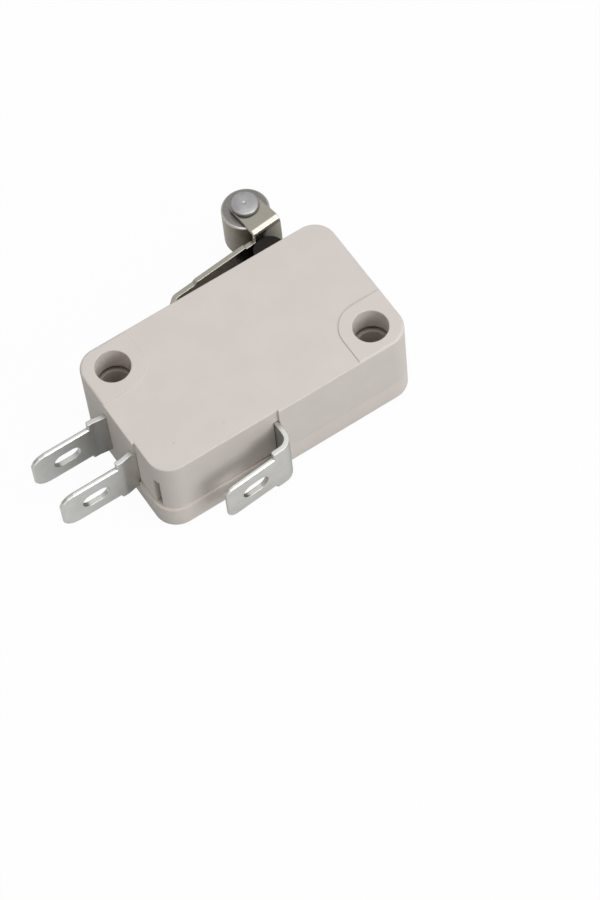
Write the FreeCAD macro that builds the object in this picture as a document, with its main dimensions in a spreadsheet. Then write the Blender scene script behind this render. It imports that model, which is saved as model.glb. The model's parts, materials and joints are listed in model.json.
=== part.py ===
import FreeCAD, Part
import math
import os
import Sketcher

# Roller lever snap-action micro switch, in millimetres.
# The switch lies on its cover. +Z goes through its thickness, +X along its length away from
# the two end terminals, and +Y towards the lever. The origin is the centre of the mounting
# hole beside the common terminal's side, at the face that the switch rests on.

# Driving dimensions: name, value and what it measures

DIMENSIONS = [
    ("hole_pitch_x", 22.2, "between the mounting holes, along the length"),
    ("hole_pitch_y", 10.3, "between the mounting holes, across the width"),
    ("side_margin", 2.8, "from a mounting hole's centre to the nearest long side"),
    ("end_margin", 3.0, "from a mounting hole's centre to the nearest end"),
    ("mount_hole_radius", 1.55, "mounting hole in the cover"),
    ("case_hole_radius", 1.75, "wider mounting hole in the case"),
    ("body_thickness", 10.3, "over case and cover"),
    ("parting_below", 2.05, "from the middle of the thickness down to where case and cover meet"),
    ("post_rise", 1.75, "from the middle of the thickness up to the ends of the cover's posts"),
    ("post_radius", 2.2, "tubular posts of the cover round the mounting holes"),
    ("post_clearance", 0.05, "round the cover's posts in the case"),
    ("post_room", 0.6, "above the cover's posts in the case"),
    ("corner_radius", 2.3, "upright corners of the housing"),
    ("case_edge_radius", 0.25, "softened rim of the case"),
    ("cover_edge_bevel", 0.45, "softened rim of the cover"),
    ("wall", 1.3, "side walls of case and cover"),
    ("plate", 1.2, "large faces of case and cover"),
    ("case_inset", 0.25, "step of the case behind the cover's rim at the terminals"),
    ("inset_end", 2.2, "where the step ends on the terminal end, in Y"),
    ("pad_reach", 3.0, "raised corner pads, from the hole's centre"),
    ("pad_height", 0.08, "raised corner pads above the large face"),
    ("boss_wall", 0.5, "plastic of the case round a post of the cover"),
    ("slot_clearance", 0.04, "round each terminal in its slot"),
    ("window_y", -1.0, "centre of the unused terminal window, in Y"),
    ("window_width", 0.7, "unused terminal window"),
    ("window_height", 4.1, "unused terminal window"),
    ("window_depth", 1.1, "unused terminal window"),
    ("window_sill", 0.3, "from the cover up to the unused terminal window"),
    ("sheet", 0.5, "terminal sheet"),
    ("tab_width", 4.75, "plug-on tab"),
    ("root_above", 3.2, "terminal at its shoulder, above the middle"),
    ("root_below", 2.75, "terminal at its shoulder, below the middle"),
    ("tab_reach", 8.2, "from the end wall to a tab's tip"),
    ("shoulder_reach", 1.95, "from the end wall to a tab's shoulder"),
    ("root_bend", 2.0, "inner radius of the slight bends at an end terminal's root"),
    ("tab_tip_cut", 1.0, "cut corners of an end tab's tip"),
    ("com_tip_cut", 0.6, "cut corners of the common tab's tip"),
    ("tab_bevel", 0.12, "bevel round a tab's edges"),
    ("tab_hole_length", 2.9, "oval hole of a tab"),
    ("tab_hole_width", 1.8, "oval hole of a tab"),
    ("tab_hole_inset", 3.65, "from an end tab's tip to its hole's centre"),
    ("com_hole_inset", 3.25, "from the common tab's tip to its hole's centre"),
    ("nc_y", 7.3, "middle of the upper end terminal inside, in Y"),
    ("nc_tab_y", 7.45, "middle of the upper end terminal's tab, in Y"),
    ("no_y", 2.45, "middle of the lower end terminal inside, in Y"),
    ("no_tab_y", 2.25, "middle of the lower end terminal's tab, in Y"),
    ("terminal_run", 4.3, "end terminals inside the end wall"),
    ("contact_plate_width", 5.0, "end terminals inside, where they hold the contacts"),
    ("com_x", -12.4, "middle of the common terminal's stem, in X"),
    ("com_reach", 2.3, "from the side wall to the common terminal's bend, at its middle"),
    ("com_splay", 4.5, "how far the common tab leans away from the side, in degrees"),
    ("com_bend", 1.0, "inner radius of the common terminal's outer bend"),
    ("com_tip", 7.8, "from the stem's middle to the common tab's tip"),
    ("com_shoulder", 2.2, "from the stem's middle to the common tab's shoulder"),
    ("shelf_y", 1.15, "middle of the common terminal's inner shelf, in Y"),
    ("shelf_run", 7.25, "length of the inner shelf from the stem"),
    ("first_rivet_run", 1.8, "from the stem's middle to the bracket's first rivet"),
    ("last_rivet_run", 5.95, "from the stem's middle to the bracket's second rivet"),
    ("bracket_sheet", 0.4, "folded bracket"),
    ("fold_radius", 0.3, "inner radius of the folds of bracket and press lever"),
    ("bracket_width", 5.2, "over the bracket's cheeks"),
    ("fulcrum_x", -8.45, "knife edge of the contact arm, in X"),
    ("fulcrum_y", 5.2, "knife edge of the contact arm, in Y"),
    ("arm_thickness", 0.3, "contact arm"),
    ("arm_gap", 0.2, "between the contact arm and each cheek of the bracket"),
    ("arm_window", 2.4, "window of the contact arm, across"),
    ("arm_hook_reach", 8.3, "from the fulcrum to the spring's hook hole in the arm"),
    ("contact_x", -21.5, "middle of the contacts, in X"),
    ("fixed_contact_radius", 1.5, "fixed contact rivets"),
    ("fixed_contact_height", 0.8, "fixed contact rivets"),
    ("moving_contact_radius", 1.3, "moving contact rivet"),
    ("moving_contact_height", 0.7, "each head of the moving contact rivet"),
    ("moving_contact_taper", 0.5, "how much smaller its crown is than its foot, in radius"),
    ("contact_touch", 0.03, "gap left between contacts that touch"),
    ("contact_chamfer", 0.24, "bevel round a fixed contact's face"),
    ("contact_tail_radius", 0.9, "riveted tail of a fixed contact"),
    ("contact_tail_height", 0.3, "riveted tail of a fixed contact"),
    ("tail_clearance", 0.1, "round the upper contact's tail in the case"),
    ("press_pivot_x", -10.8, "pivot of the press lever, in X"),
    ("press_pivot_y", 7.3, "pivot of the press lever, in Y"),
    ("press_sheet", 0.4, "folded press lever"),
    ("press_gap", 0.25, "between the press lever and each cheek of the bracket"),
    ("press_top", 9.75, "upper face of the press lever, in Y"),
    ("press_hook_x", -4.4, "spring hole in the press lever, in X"),
    ("press_hook_y", 6.9, "spring hole in the press lever, in Y"),
    ("hook_leg_width", 1.4, "leg of the press lever that holds the spring, along X"),
    ("hook_leg_depth", 0.8, "leg of the press lever that holds the spring, along Z"),
    ("hook_hole_radius", 0.45, "holes for the spring's ends"),
    ("hook_play", 0.15, "from the leg's hole centre back to the pulled spring's end"),
    ("pivot_pin_radius", 0.45, "stub pins of the press lever"),
    ("pivot_clearance", 0.05, "round the stub pins"),
    ("spring_radius", 0.85, "snap spring, to the middle of the wire"),
    ("spring_wire", 0.28, "snap spring wire"),
    ("spring_turns", 11, "turns of the snap spring"),
    ("spring_sides", 10, "straight steps in each turn of the snap spring"),
    ("plunger_x", -2.2, "middle of the plunger, in X"),
    ("plunger_length", 3.2, "plunger, along X"),
    ("plunger_touch", 0.05, "gap left between the plunger and the lever"),
    ("plunger_clearance", 0.05, "round the plunger in its guide"),
    ("plunger_flange", 0.8, "how far the plunger's flange stands out, and its height"),
    ("flange_play", 0.1, "between the plunger's flange and the wall that stops it"),
    ("plunger_foot", 9.8, "lower end of the plunger, in Y"),
    ("lever_sheet", 0.5, "lever"),
    ("pivot_x", -16.2, "lever's pivot, in X"),
    ("pivot_y", 11.9, "lever's pivot, in Y"),
    ("knee_x", -12.5, "lever's bend, in X"),
    ("knee_y", 15.41, "lever's bend, in Y"),
    ("knee_radius", 0.6, "inner radius of the lever's bend"),
    ("lever_slope", 5.5, "rise of the lever above the length, in degrees"),
    ("lug_width", 6.4, "over the lever's two hinge lugs"),
    ("lug_reach", 0.42, "hinge lugs along the lever's tail, each way from the pivot"),
    ("socket_radius", 0.7, "sockets that the hinge lugs turn in"),
    ("lug_play", 0.1, "at each end of the hinge lugs"),
    ("hinge_pocket_half", 0.75, "pocket for the lever's tail, each way from the pivot"),
    ("pocket_mouth_left", 0.35, "from the pivot to the near side of the pocket's mouth, along X"),
    ("pocket_mouth_right", 2.9, "from the pivot to the far side of the pocket's mouth, along X"),
    ("hinge_block", 1.9, "plastic round the lever's hinge, from the pivot"),
    ("hinge_wall", 0.7, "plastic of the hinge block beside the pocket's mouth"),
    ("neck_play", 0.25, "between the lever's neck and each end of its pocket"),
    ("neck_width", 3.6, "lever beside its pivot"),
    ("neck_run", 2.25, "from the lever's bend to the end of its neck"),
    ("taper_run", 0.35, "along the lever, from its neck to its full width"),
    ("lever_width", 4.1, "lever in its middle"),
    ("relief_run", 1.2, "narrow part of the lever beside its ears"),
    ("roller_gap", 0.1, "between the roller and each ear"),
    ("clevis_start", 9.75, "from the lever's bend to its ears"),
    ("ear_width", 3.1, "lever's ears at their fold"),
    ("ear_radius", 1.5, "round ends of the lever's ears"),
    ("ear_bend", 0.12, "inner radius of the ears' folds"),
    ("roller_x", -1.7, "roller's axis, in X"),
    ("roller_y", 19.6, "roller's axis, in Y"),
    ("roller_radius", 2.4, "roller"),
    ("roller_width", 5.0, "roller"),
    ("roller_bore_clearance", 0.05, "round the pin"),
    ("roller_edge", 0.3, "rounded rims of the roller"),
    ("pin_radius", 0.75, "roller pin"),
    ("pin_head_radius", 1.4, "flat head of the roller pin"),
    ("pin_head_height", 0.42, "flat head of the roller pin"),
    ("pin_head_edge", 0.14, "softened rim of the pin's flat head"),
    ("pin_mark_radius", 0.22, "centre mark in the pin's flat head"),
    ("pin_mark_depth", 0.12, "centre mark in the pin's flat head"),
    ("pin_dome_radius", 1.25, "riveted end of the roller pin"),
    ("pin_dome_height", 0.55, "riveted end of the roller pin"),
    ("rivet_radius", 0.6, "bracket rivets"),
    ("rivet_head_radius", 1.05, "bracket rivets"),
    ("rivet_head_height", 0.4, "bracket rivets"),
]

# How far a cut runs past the face that it opens
PAST = 1

# Flat sides of the spring wire's cross-section
WIRE_SIDES = 6

doc = FreeCAD.newDocument("micro_switch")
sheet = doc.addObject("Spreadsheet::Sheet", "Sizes")


class Size:
    """A length that carries its value and the sheet formula it comes from."""

    def __init__(self, value, formula):
        self.value = value
        self.formula = formula

    def __add__(self, other):
        other = as_size(other)
        return Size(self.value + other.value, f"({self.formula} + {other.formula})")

    def __sub__(self, other):
        other = as_size(other)
        return Size(self.value - other.value, f"({self.formula} - {other.formula})")

    def __mul__(self, factor):
        return Size(self.value * factor, f"({self.formula} * {factor})")

    def __truediv__(self, divisor):
        return Size(self.value / divisor, f"({self.formula} / {divisor})")

    def __neg__(self):
        return Size(-self.value, f"(0 - {self.formula})")

    __radd__ = __add__
    __rmul__ = __mul__

    def __rsub__(self, other):
        return as_size(other) - self


def as_size(number):
    """A plain number becomes a size with no sheet cell behind it."""
    if isinstance(number, Size):
        return number
    return Size(float(number), repr(float(number)))


class Sizes:
    """The sheet's cells as attributes."""


def fill_sheet():
    """Write each driving dimension into the sheet under its own alias."""
    sizes = Sizes()
    for row, (name, value, meaning) in enumerate(DIMENSIONS, start=1):
        sheet.set(f"A{row}", meaning)
        sheet.set(f"B{row}", str(value))
        sheet.setAlias(f"B{row}", name)
        setattr(sizes, name, Size(value, f"Sizes.{name}"))
    doc.recompute()
    return sizes


d = fill_sheet()

# Places worked out from the driving dimensions

left_x = -(d.hole_pitch_x + d.end_margin)
right_x = d.end_margin
low_y = -d.side_margin
high_y = d.hole_pitch_y + d.side_margin
mid_z = d.body_thickness / 2
cover_depth = mid_z - d.parting_below
post_top = mid_z + d.post_rise
socket_radius = d.post_radius + d.post_clearance
case_face_z = d.body_thickness - d.pad_height
ceiling_z = case_face_z - d.plate
cavity_left = left_x + d.wall
cavity_right = right_x - d.wall
cavity_low = low_y + d.wall
cavity_high = high_y - d.wall
boss_reach = socket_radius + d.boss_wall
tab_tip_x = left_x - d.tab_reach
pocket_mouth_right = d.pivot_x + d.pocket_mouth_right
com_corner_y = low_y - d.com_reach
bracket_inside = d.bracket_width - d.bracket_sheet * 2
arm_width = bracket_inside - d.arm_gap * 2
press_width = bracket_inside - d.press_gap * 2
clevis_width = d.roller_width + (d.lever_sheet + d.roller_gap) * 2
plunger_depth = (mid_z - cover_depth - d.plunger_clearance) * 2

# General tools


def bind(item, place, size):
    """Tie one property of an object to the sheet."""
    item.setExpression(place, as_size(size).formula)


def plane(body, role):
    """One of a body's own origin planes."""
    return [p for p in body.Origin.OriginFeatures if p.Role == role][0]


def new_body(name):
    """An empty body whose label is its piece's name."""
    body = doc.addObject("PartDesign::Body", name)
    body.Label = name
    return body


def new_sketch(body, name, role="XY_Plane", offset=0):
    """An empty sketch on one of the body's planes, moved along that plane's normal."""
    sketch = body.newObject("Sketcher::SketchObject", name)
    sketch.AttachmentSupport = (plane(body, role), [""])
    sketch.MapMode = "FlatFace"
    bind(sketch, "AttachmentOffset.Base.z", offset)
    return sketch


def draw_outline(sketch, corners):
    """A closed straight-sided outline, each corner tied to the sheet in both directions."""
    points = [(as_size(u), as_size(v)) for u, v in corners]
    count = len(points)
    first = sketch.GeometryCount
    for i in range(count):
        start = FreeCAD.Vector(points[i][0].value, points[i][1].value, 0)
        after = points[(i + 1) % count]
        end = FreeCAD.Vector(after[0].value, after[1].value, 0)
        sketch.addGeometry(Part.LineSegment(start, end), False)
    for i in range(count):
        joint = Sketcher.Constraint("Coincident", first + i, 2, first + (i + 1) % count, 1)
        sketch.addConstraint(joint)
    for i, (u, v) in enumerate(points):
        for kind, size in (("DistanceX", u), ("DistanceY", v)):
            index = sketch.addConstraint(Sketcher.Constraint(kind, -1, 1, first + i, 1, size.value))
            bind(sketch, f"Constraints[{index}]", size)


def draw_circle(sketch, u, v, radius):
    """A circle tied to the sheet."""
    u = as_size(u)
    v = as_size(v)
    centre = FreeCAD.Vector(u.value, v.value, 0)
    circle = Part.Circle(centre, FreeCAD.Vector(0, 0, 1), radius.value)
    geometry = sketch.addGeometry(circle, False)
    for kind, size in (("DistanceX", u), ("DistanceY", v)):
        index = sketch.addConstraint(Sketcher.Constraint(kind, -1, 1, geometry, 3, size.value))
        bind(sketch, f"Constraints[{index}]", size)
    index = sketch.addConstraint(Sketcher.Constraint("Radius", geometry, radius.value))
    bind(sketch, f"Constraints[{index}]", radius)


def rectangle(u0, u1, v0, v1):
    """The four corners of a rectangle."""
    return [(u0, v0), (u1, v0), (u1, v1), (u0, v1)]


def pad(body, sketch, length, centred=False):
    """Grow the sketch along its plane's normal, or half each way."""
    feature = body.newObject("PartDesign::Pad", sketch.Name + "_pad")
    feature.Profile = sketch
    bind(feature, "Length", length)
    feature.Midplane = centred
    doc.recompute()
    return feature


def pocket(body, sketch, length, forward=True):
    """Cut the sketch's outline out of the body and see that something went."""
    before = body.Shape.Volume
    feature = body.newObject("PartDesign::Pocket", sketch.Name + "_cut")
    feature.Profile = sketch
    bind(feature, "Length", length)
    feature.Reversed = forward
    doc.recompute()
    if body.Shape.Volume >= before:
        raise RuntimeError(f"{feature.Name} removes nothing")
    return feature


def edges_where(shape, test):
    """Names of the edges that pass a test."""
    return [f"Edge{i}" for i, edge in enumerate(shape.Edges, start=1) if test(edge)]


def upright_at(u, v, reach=0.05):
    """A test for straight edges along Z through a point of the plan."""
    def test(edge):
        box = edge.BoundBox
        flat = box.XLength < 0.01 and box.YLength < 0.01
        near = abs(box.Center.x - as_size(u).value) < reach and abs(box.Center.y - as_size(v).value) < reach
        return flat and near and box.ZLength > 0.01
    return test


def round_edges(body, name, test, radius, kind="Fillet"):
    """Round or bevel the edges of the body's present form that pass a test."""
    base = body.Tip
    names = edges_where(base.Shape, test)
    if not names:
        raise RuntimeError(f"{name} finds no edge")
    feature = body.newObject(f"PartDesign::{kind}", name)
    feature.Base = (base, names)
    bind(feature, "Radius" if kind == "Fillet" else "Size", radius)
    doc.recompute()
    if "Invalid" in feature.State:
        raise RuntimeError(f"{name} can't be rounded")
    return feature


def revolve(body, sketch, axis="V_Axis"):
    """Turn a half section fully round one of its sketch's own axes."""
    feature = body.newObject("PartDesign::Revolution", sketch.Name + "_turned")
    feature.Profile = sketch
    feature.ReferenceAxis = (sketch, [axis])
    feature.Angle = 360
    doc.recompute()
    return feature


def piece(name, shape):
    """A finished sub-part whose form was made with plain shapes."""
    feature = doc.addObject("Part::Feature", name)
    feature.Label = name
    feature.Shape = shape
    return feature


def vector(x, y, z=0.0):
    """A vector from plain numbers."""
    return FreeCAD.Vector(x, y, z)


def bent_strip(points, radius, thickness):
    """Face of a sheet seen edge on: a path with round bends, half a thickness to each side."""
    left = []
    right = []
    half = thickness / 2
    spots = [vector(x, y) for x, y in points]
    middle = radius + half

    def sides(spot, normal):
        return spot + normal * half, spot - normal * half

    def normal_of(run):
        return vector(-run.y, run.x).normalize()

    start_sides = sides(spots[0], normal_of(spots[1] - spots[0]))
    place = list(start_sides)
    for before, corner, after in zip(spots, spots[1:], spots[2:]):
        run_in = (corner - before).normalize()
        run_out = (after - corner).normalize()
        turn = run_in.getAngle(run_out)
        back = middle * math.tan(turn / 2)
        turns_left = run_in.cross(run_out).z > 0
        inward = normal_of(run_in) if turns_left else -normal_of(run_in)
        bend_in = corner - run_in * back
        bend_out = corner + run_out * back
        centre = bend_in + inward * middle
        outward = (corner - centre).normalize()
        bend_starts = sides(bend_in, normal_of(run_in))
        bend_ends = sides(bend_out, normal_of(run_out))
        for i, side in enumerate((left, right)):
            towards_centre = turns_left == (i == 0)
            reach = middle - half if towards_centre else middle + half
            side.append(Part.LineSegment(place[i], bend_starts[i]))
            side.append(Part.Arc(bend_starts[i], centre + outward * reach, bend_ends[i]))
            place[i] = bend_ends[i]
    end_sides = sides(spots[-1], normal_of(spots[-1] - spots[-2]))
    left.append(Part.LineSegment(place[0], end_sides[0]))
    right.append(Part.LineSegment(place[1], end_sides[1]))
    closing = [Part.LineSegment(*start_sides), Part.LineSegment(*end_sides)]
    edges = [curve.toShape() for curve in left + right + closing]
    return Part.Face(Part.Wire(Part.__sortEdges__(edges)))


def sheet_part(points, radius, thickness, width):
    """A bent strip given its width along Z, centred on the switch's middle."""
    face = bent_strip(points, radius, thickness)
    face.translate(vector(0, 0, mid_z.value - width / 2))
    return face.extrude(vector(0, 0, width))


def channel_along_x(width, thickness, bend, x0, x1):
    """A folded channel: web on Y = 0 and open towards +Y, its two sides centred on Z = 0."""
    side = width / 2 - thickness / 2
    tall = 2 * d.body_thickness.value
    web = thickness / 2
    section = bent_strip([(-side, tall), (-side, web), (side, web), (side, tall)], bend, thickness)
    channel = section.extrude(vector(0, 0, x1 - x0))
    channel.rotate(vector(0, 0, 0), vector(0, 1, 0), 90)
    channel.translate(vector(x0, 0, 0))
    return channel


def prism_y(outline, y0, y1):
    """An outline in X and Z, given depth along Y."""
    spots = [vector(x, y0, z) for x, z in outline]
    face = Part.Face(Part.makePolygon(spots + spots[:1]))
    return face.extrude(vector(0, y1 - y0, 0))


def prism_z(outline, z0, z1):
    """An outline in X and Y, given depth along Z."""
    spots = [vector(x, y, z0) for x, y in outline]
    face = Part.Face(Part.makePolygon(spots + spots[:1]))
    return face.extrude(vector(0, 0, z1 - z0))


def rod_z(x, y, radius, z0, z1):
    """A round rod along Z."""
    return Part.makeCylinder(radius, z1 - z0, vector(x, y, z0), vector(0, 0, 1))


def rod_y(x, z, radius, y0, y1):
    """A round rod along Y."""
    return Part.makeCylinder(radius, y1 - y0, vector(x, y0, z), vector(0, 1, 0))


def closed_outline(above, below):
    """Close an outline from its widths along X above and below the middle in Z."""
    z = mid_z.value
    upper = [(x, z + width) for x, width in above]
    lower = [(x, z - width) for x, width in reversed(below)]
    return upper + lower


def mirrored_outline(halves):
    """Close a symmetrical outline from its half widths along X."""
    return closed_outline(halves, halves)


# Housing


def terminal_slots():
    """Plan rectangles of the slots that the three terminals pass through."""
    half = d.sheet / 2 + d.slot_clearance
    end_slots = []
    boss_side = -d.hole_pitch_x + boss_reach
    for y in (d.nc_y, d.no_y):
        end_slots.append(rectangle(left_x - PAST, boss_side, y - half, y + half))
    com_slot = rectangle(d.com_x - half, d.com_x + half, low_y - PAST, cavity_low + PAST)
    return end_slots + [com_slot]


def cavity_outline():
    """Plan of the chamber: the walls' inner faces, stepped round the two hole bosses and the hinge."""
    hinge_left = d.pivot_x - d.hinge_block
    hinge_right = pocket_mouth_right + d.hinge_wall
    hinge_floor = d.pivot_y - d.hinge_block
    return [
        (cavity_left, cavity_low),
        (-boss_reach, cavity_low),
        (-boss_reach, boss_reach),
        (cavity_right, boss_reach),
        (cavity_right, cavity_high),
        (hinge_right, cavity_high),
        (hinge_right, hinge_floor),
        (hinge_left, hinge_floor),
        (hinge_left, cavity_high),
        (-d.hole_pitch_x + boss_reach, cavity_high),
        (-d.hole_pitch_x + boss_reach, d.hole_pitch_y - boss_reach),
        (cavity_left, d.hole_pitch_y - boss_reach),
    ]


def hinge_pocket():
    """Plan of the pocket in the lever's side wall, open outwards, for the lever's slanted tail."""
    half = d.hinge_pocket_half
    return [
        (d.pivot_x - half, d.pivot_y - half),
        (d.pivot_x + half, d.pivot_y - half),
        (pocket_mouth_right, high_y + PAST),
        (d.pivot_x + d.pocket_mouth_left, high_y + PAST),
        (d.pivot_x - half, d.pivot_y),
    ]


def housing_corner_test():
    """Edges at the four upright corners of the housing, also where the case steps in."""
    spots = []
    for x in (left_x, left_x + d.case_inset, right_x):
        for y in (low_y, low_y + d.case_inset, high_y):
            spots.append(upright_at(x, y))
    return lambda edge: any(test(edge) for test in spots)


def cut_plan(body, name, corners, z, depth, upwards=True):
    """Cut a plan outline from height z, up or down."""
    sketch = new_sketch(body, name, "XY_Plane", z)
    draw_outline(sketch, corners)
    return pocket(body, sketch, depth, upwards)


def make_case():
    """Upper housing shell with the chamber, mounting holes, hinge pocket and plunger guide."""
    body = new_body("case")
    low_edge = cover_depth
    outline = new_sketch(body, "case_outline", "XY_Plane", low_edge)
    draw_outline(outline, [
        (left_x + d.case_inset, low_y + d.case_inset),
        (d.com_x + d.sheet / 2, low_y + d.case_inset),
        (d.com_x + d.sheet / 2, low_y),
        (right_x, low_y),
        (right_x, high_y),
        (left_x, high_y),
        (left_x, d.inset_end),
        (left_x + d.case_inset, d.inset_end),
    ])
    pad(body, outline, d.body_thickness - low_edge)
    round_edges(body, "case_corners", housing_corner_test(), d.corner_radius)
    top_rim = d.body_thickness.value - 0.01
    round_edges(body, "case_rim", lambda edge: edge.BoundBox.ZMin > top_rim, d.case_edge_radius)
    cut_plan(body, "case_face", lowered_face(), d.body_thickness, d.pad_height, False)
    near_right = upright_at(-d.pad_reach, d.pad_reach)
    near_left = upright_at(-d.hole_pitch_x + d.pad_reach, d.hole_pitch_y - d.pad_reach)
    round_edges(body, "case_pad_arcs", lambda edge: near_right(edge) or near_left(edge), d.pad_reach * 0.95)
    cut_plan(body, "case_chamber", cavity_outline(), low_edge, ceiling_z - low_edge)
    round_edges(body, "case_bosses", boss_edge_test, d.case_hole_radius)
    holes = new_sketch(body, "case_holes", "XY_Plane", low_edge)
    draw_both_holes(holes, d.case_hole_radius)
    pocket(body, holes, d.body_thickness)
    post_sockets = new_sketch(body, "case_post_sockets", "XY_Plane", low_edge)
    draw_both_holes(post_sockets, socket_radius)
    pocket(body, post_sockets, post_top + d.post_room - low_edge)
    slot_top = mid_z + d.root_above + d.slot_clearance
    for i, corners in enumerate(terminal_slots()):
        cut_plan(body, f"case_terminal_slot_{i}", corners, low_edge, slot_top - low_edge)
    relief = d.contact_tail_radius + d.tail_clearance
    relief_low = d.nc_y + d.sheet / 2
    relief_high = relief_low + d.contact_tail_height + d.tail_clearance
    relief_plan = rectangle(d.contact_x - relief, d.contact_x + relief, relief_low, relief_high)
    cut_plan(body, "case_rivet_relief", relief_plan, low_edge, mid_z + relief - low_edge)
    pocket_top = mid_z + d.neck_width / 2 + d.neck_play
    cut_plan(body, "case_hinge_pocket", hinge_pocket(), low_edge, pocket_top - low_edge)
    sockets = new_sketch(body, "case_hinge_socket", "XY_Plane", low_edge)
    draw_circle(sockets, d.pivot_x, d.pivot_y, d.socket_radius)
    pocket(body, sockets, mid_z + d.lug_width / 2 + d.lug_play - low_edge)
    cut_plan(body, "case_plunger_guide", plunger_guide(), low_edge, guide_top() - low_edge)
    window = new_sketch(body, "case_window", "YZ_Plane", left_x)
    window_low = d.window_y - d.window_width / 2
    window_high = d.window_y + d.window_width / 2
    window_bottom = cover_depth + d.window_sill
    window_top = window_bottom + d.window_height
    draw_outline(window, rectangle(window_low, window_high, window_bottom, window_top))
    pocket(body, window, d.window_depth)
    return body


def draw_both_holes(sketch, radius):
    """Two circles round the mounting holes' axes."""
    draw_circle(sketch, 0, 0, radius)
    draw_circle(sketch, -d.hole_pitch_x, d.hole_pitch_y, radius)


def lowered_face():
    """Plan of the large face outside its two raised corner pads, running past the outline."""
    left_pad_x = -d.hole_pitch_x + d.pad_reach
    left_pad_y = d.hole_pitch_y - d.pad_reach
    return [
        (left_x - PAST, low_y - PAST),
        (-d.pad_reach, low_y - PAST),
        (-d.pad_reach, d.pad_reach),
        (right_x + PAST, d.pad_reach),
        (right_x + PAST, high_y + PAST),
        (left_pad_x, high_y + PAST),
        (left_pad_x, left_pad_y),
        (left_x - PAST, left_pad_y),
    ]


def boss_edge_test(edge):
    """Upright edges of the chamber nearest to the mounting holes."""
    right_boss = upright_at(-boss_reach, boss_reach)
    left_boss = upright_at(-d.hole_pitch_x + boss_reach, d.hole_pitch_y - boss_reach)
    return right_boss(edge) or left_boss(edge)


def plunger_guide():
    """Plan of the plunger's guide through the lever's side wall."""
    half = d.plunger_length / 2 + d.plunger_clearance
    return rectangle(d.plunger_x - half, d.plunger_x + half, cavity_high - PAST, high_y + PAST)


def guide_top():
    """Upper end of the plunger's guide, in Z."""
    return cover_depth + plunger_depth + d.plunger_clearance * 2


def make_cover():
    """Lower housing shell: a plate with a rim, and a tubular post round each mounting hole."""
    body = new_body("cover")
    outline = new_sketch(body, "cover_outline")
    draw_outline(outline, rectangle(left_x, right_x, low_y, high_y))
    pad(body, outline, cover_depth)
    round_edges(body, "cover_corners", housing_corner_test(), d.corner_radius)
    round_edges(body, "cover_rim", lambda edge: edge.BoundBox.ZMax < 0.01, d.cover_edge_bevel, "Chamfer")
    top = cover_depth
    cut_plan(body, "cover_chamber", cavity_outline(), top, top - d.plate, False)
    round_edges(body, "cover_bosses", boss_edge_test, d.case_hole_radius)
    posts = new_sketch(body, "cover_posts", "XY_Plane", top)
    draw_both_holes(posts, d.post_radius)
    pad(body, posts, post_top - top)
    holes = new_sketch(body, "cover_holes", "XY_Plane", post_top)
    draw_both_holes(holes, d.mount_hole_radius)
    pocket(body, holes, post_top + PAST, False)
    slot_depth = top - (mid_z - d.root_below - d.slot_clearance)
    for i, corners in enumerate(terminal_slots()):
        cut_plan(body, f"cover_terminal_slot_{i}", corners, top, slot_depth, False)
    sockets = new_sketch(body, "cover_hinge_socket", "XY_Plane", top)
    draw_circle(sockets, d.pivot_x, d.pivot_y, d.socket_radius)
    pocket(body, sockets, top - (mid_z - d.lug_width / 2 - d.lug_play), False)
    return body


# Terminals and contacts


def terminal_outline(tip_x, shoulder_x, root_x, tip_cut, towards_tip):
    """Outline of a terminal in X and Z: tip with cut corners, tab, and a root of unequal shoulders."""
    cut = tip_cut.value
    tab = d.tab_width.value / 2
    corner = [
        (tip_x, tab - cut),
        (tip_x - towards_tip * cut * 0.3, tab - cut * 0.5),
        (tip_x - towards_tip * cut * 0.8, tab - cut * 0.15),
        (tip_x - towards_tip * cut * 1.5, tab),
        (shoulder_x, tab),
    ]
    above = corner + [(shoulder_x, d.root_above.value), (root_x, d.root_above.value)]
    below = corner + [(shoulder_x, d.root_below.value), (root_x, d.root_below.value)]
    return above, below


def tab_hole(x, y0, y1):
    """Oval hole of a tab, as a solid to cut with."""
    z = mid_z.value
    half_length = (d.tab_hole_length.value - d.tab_hole_width.value) / 2
    radius = d.tab_hole_width.value / 2
    ends = [rod_y(x - half_length, z, radius, y0, y1), rod_y(x + half_length, z, radius, y0, y1)]
    middle = Part.makeBox(2 * half_length, y1 - y0, 2 * radius, vector(x - half_length, y0, z - radius))
    return middle.multiFuse(ends)


def bevel_tab(shape, tab_y, x_from, x_to, tip_cut):
    """Bevel the outer edges of a tab on both of its faces."""
    faces_y = (tab_y - d.sheet.value / 2, tab_y + d.sheet.value / 2)
    tab_half = d.tab_width.value / 2

    def outer(edge):
        box = edge.BoundBox
        on_face = box.YLength < 0.001 and min(abs(box.Center.y - y) for y in faces_y) < 0.001
        in_reach = box.XMin > x_from - 0.001 and box.XMax < x_to + 0.001
        straight = isinstance(edge.Curve, Part.Line)
        far_out = abs(box.Center.z - mid_z.value) > tab_half - tip_cut.value
        tip = box.XLength < 0.001 and box.ZLength > 1
        return on_face and in_reach and straight and (far_out or tip)

    return shape.makeChamfer(d.tab_bevel.value, [edge for edge in shape.Edges if outer(edge)])


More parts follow.
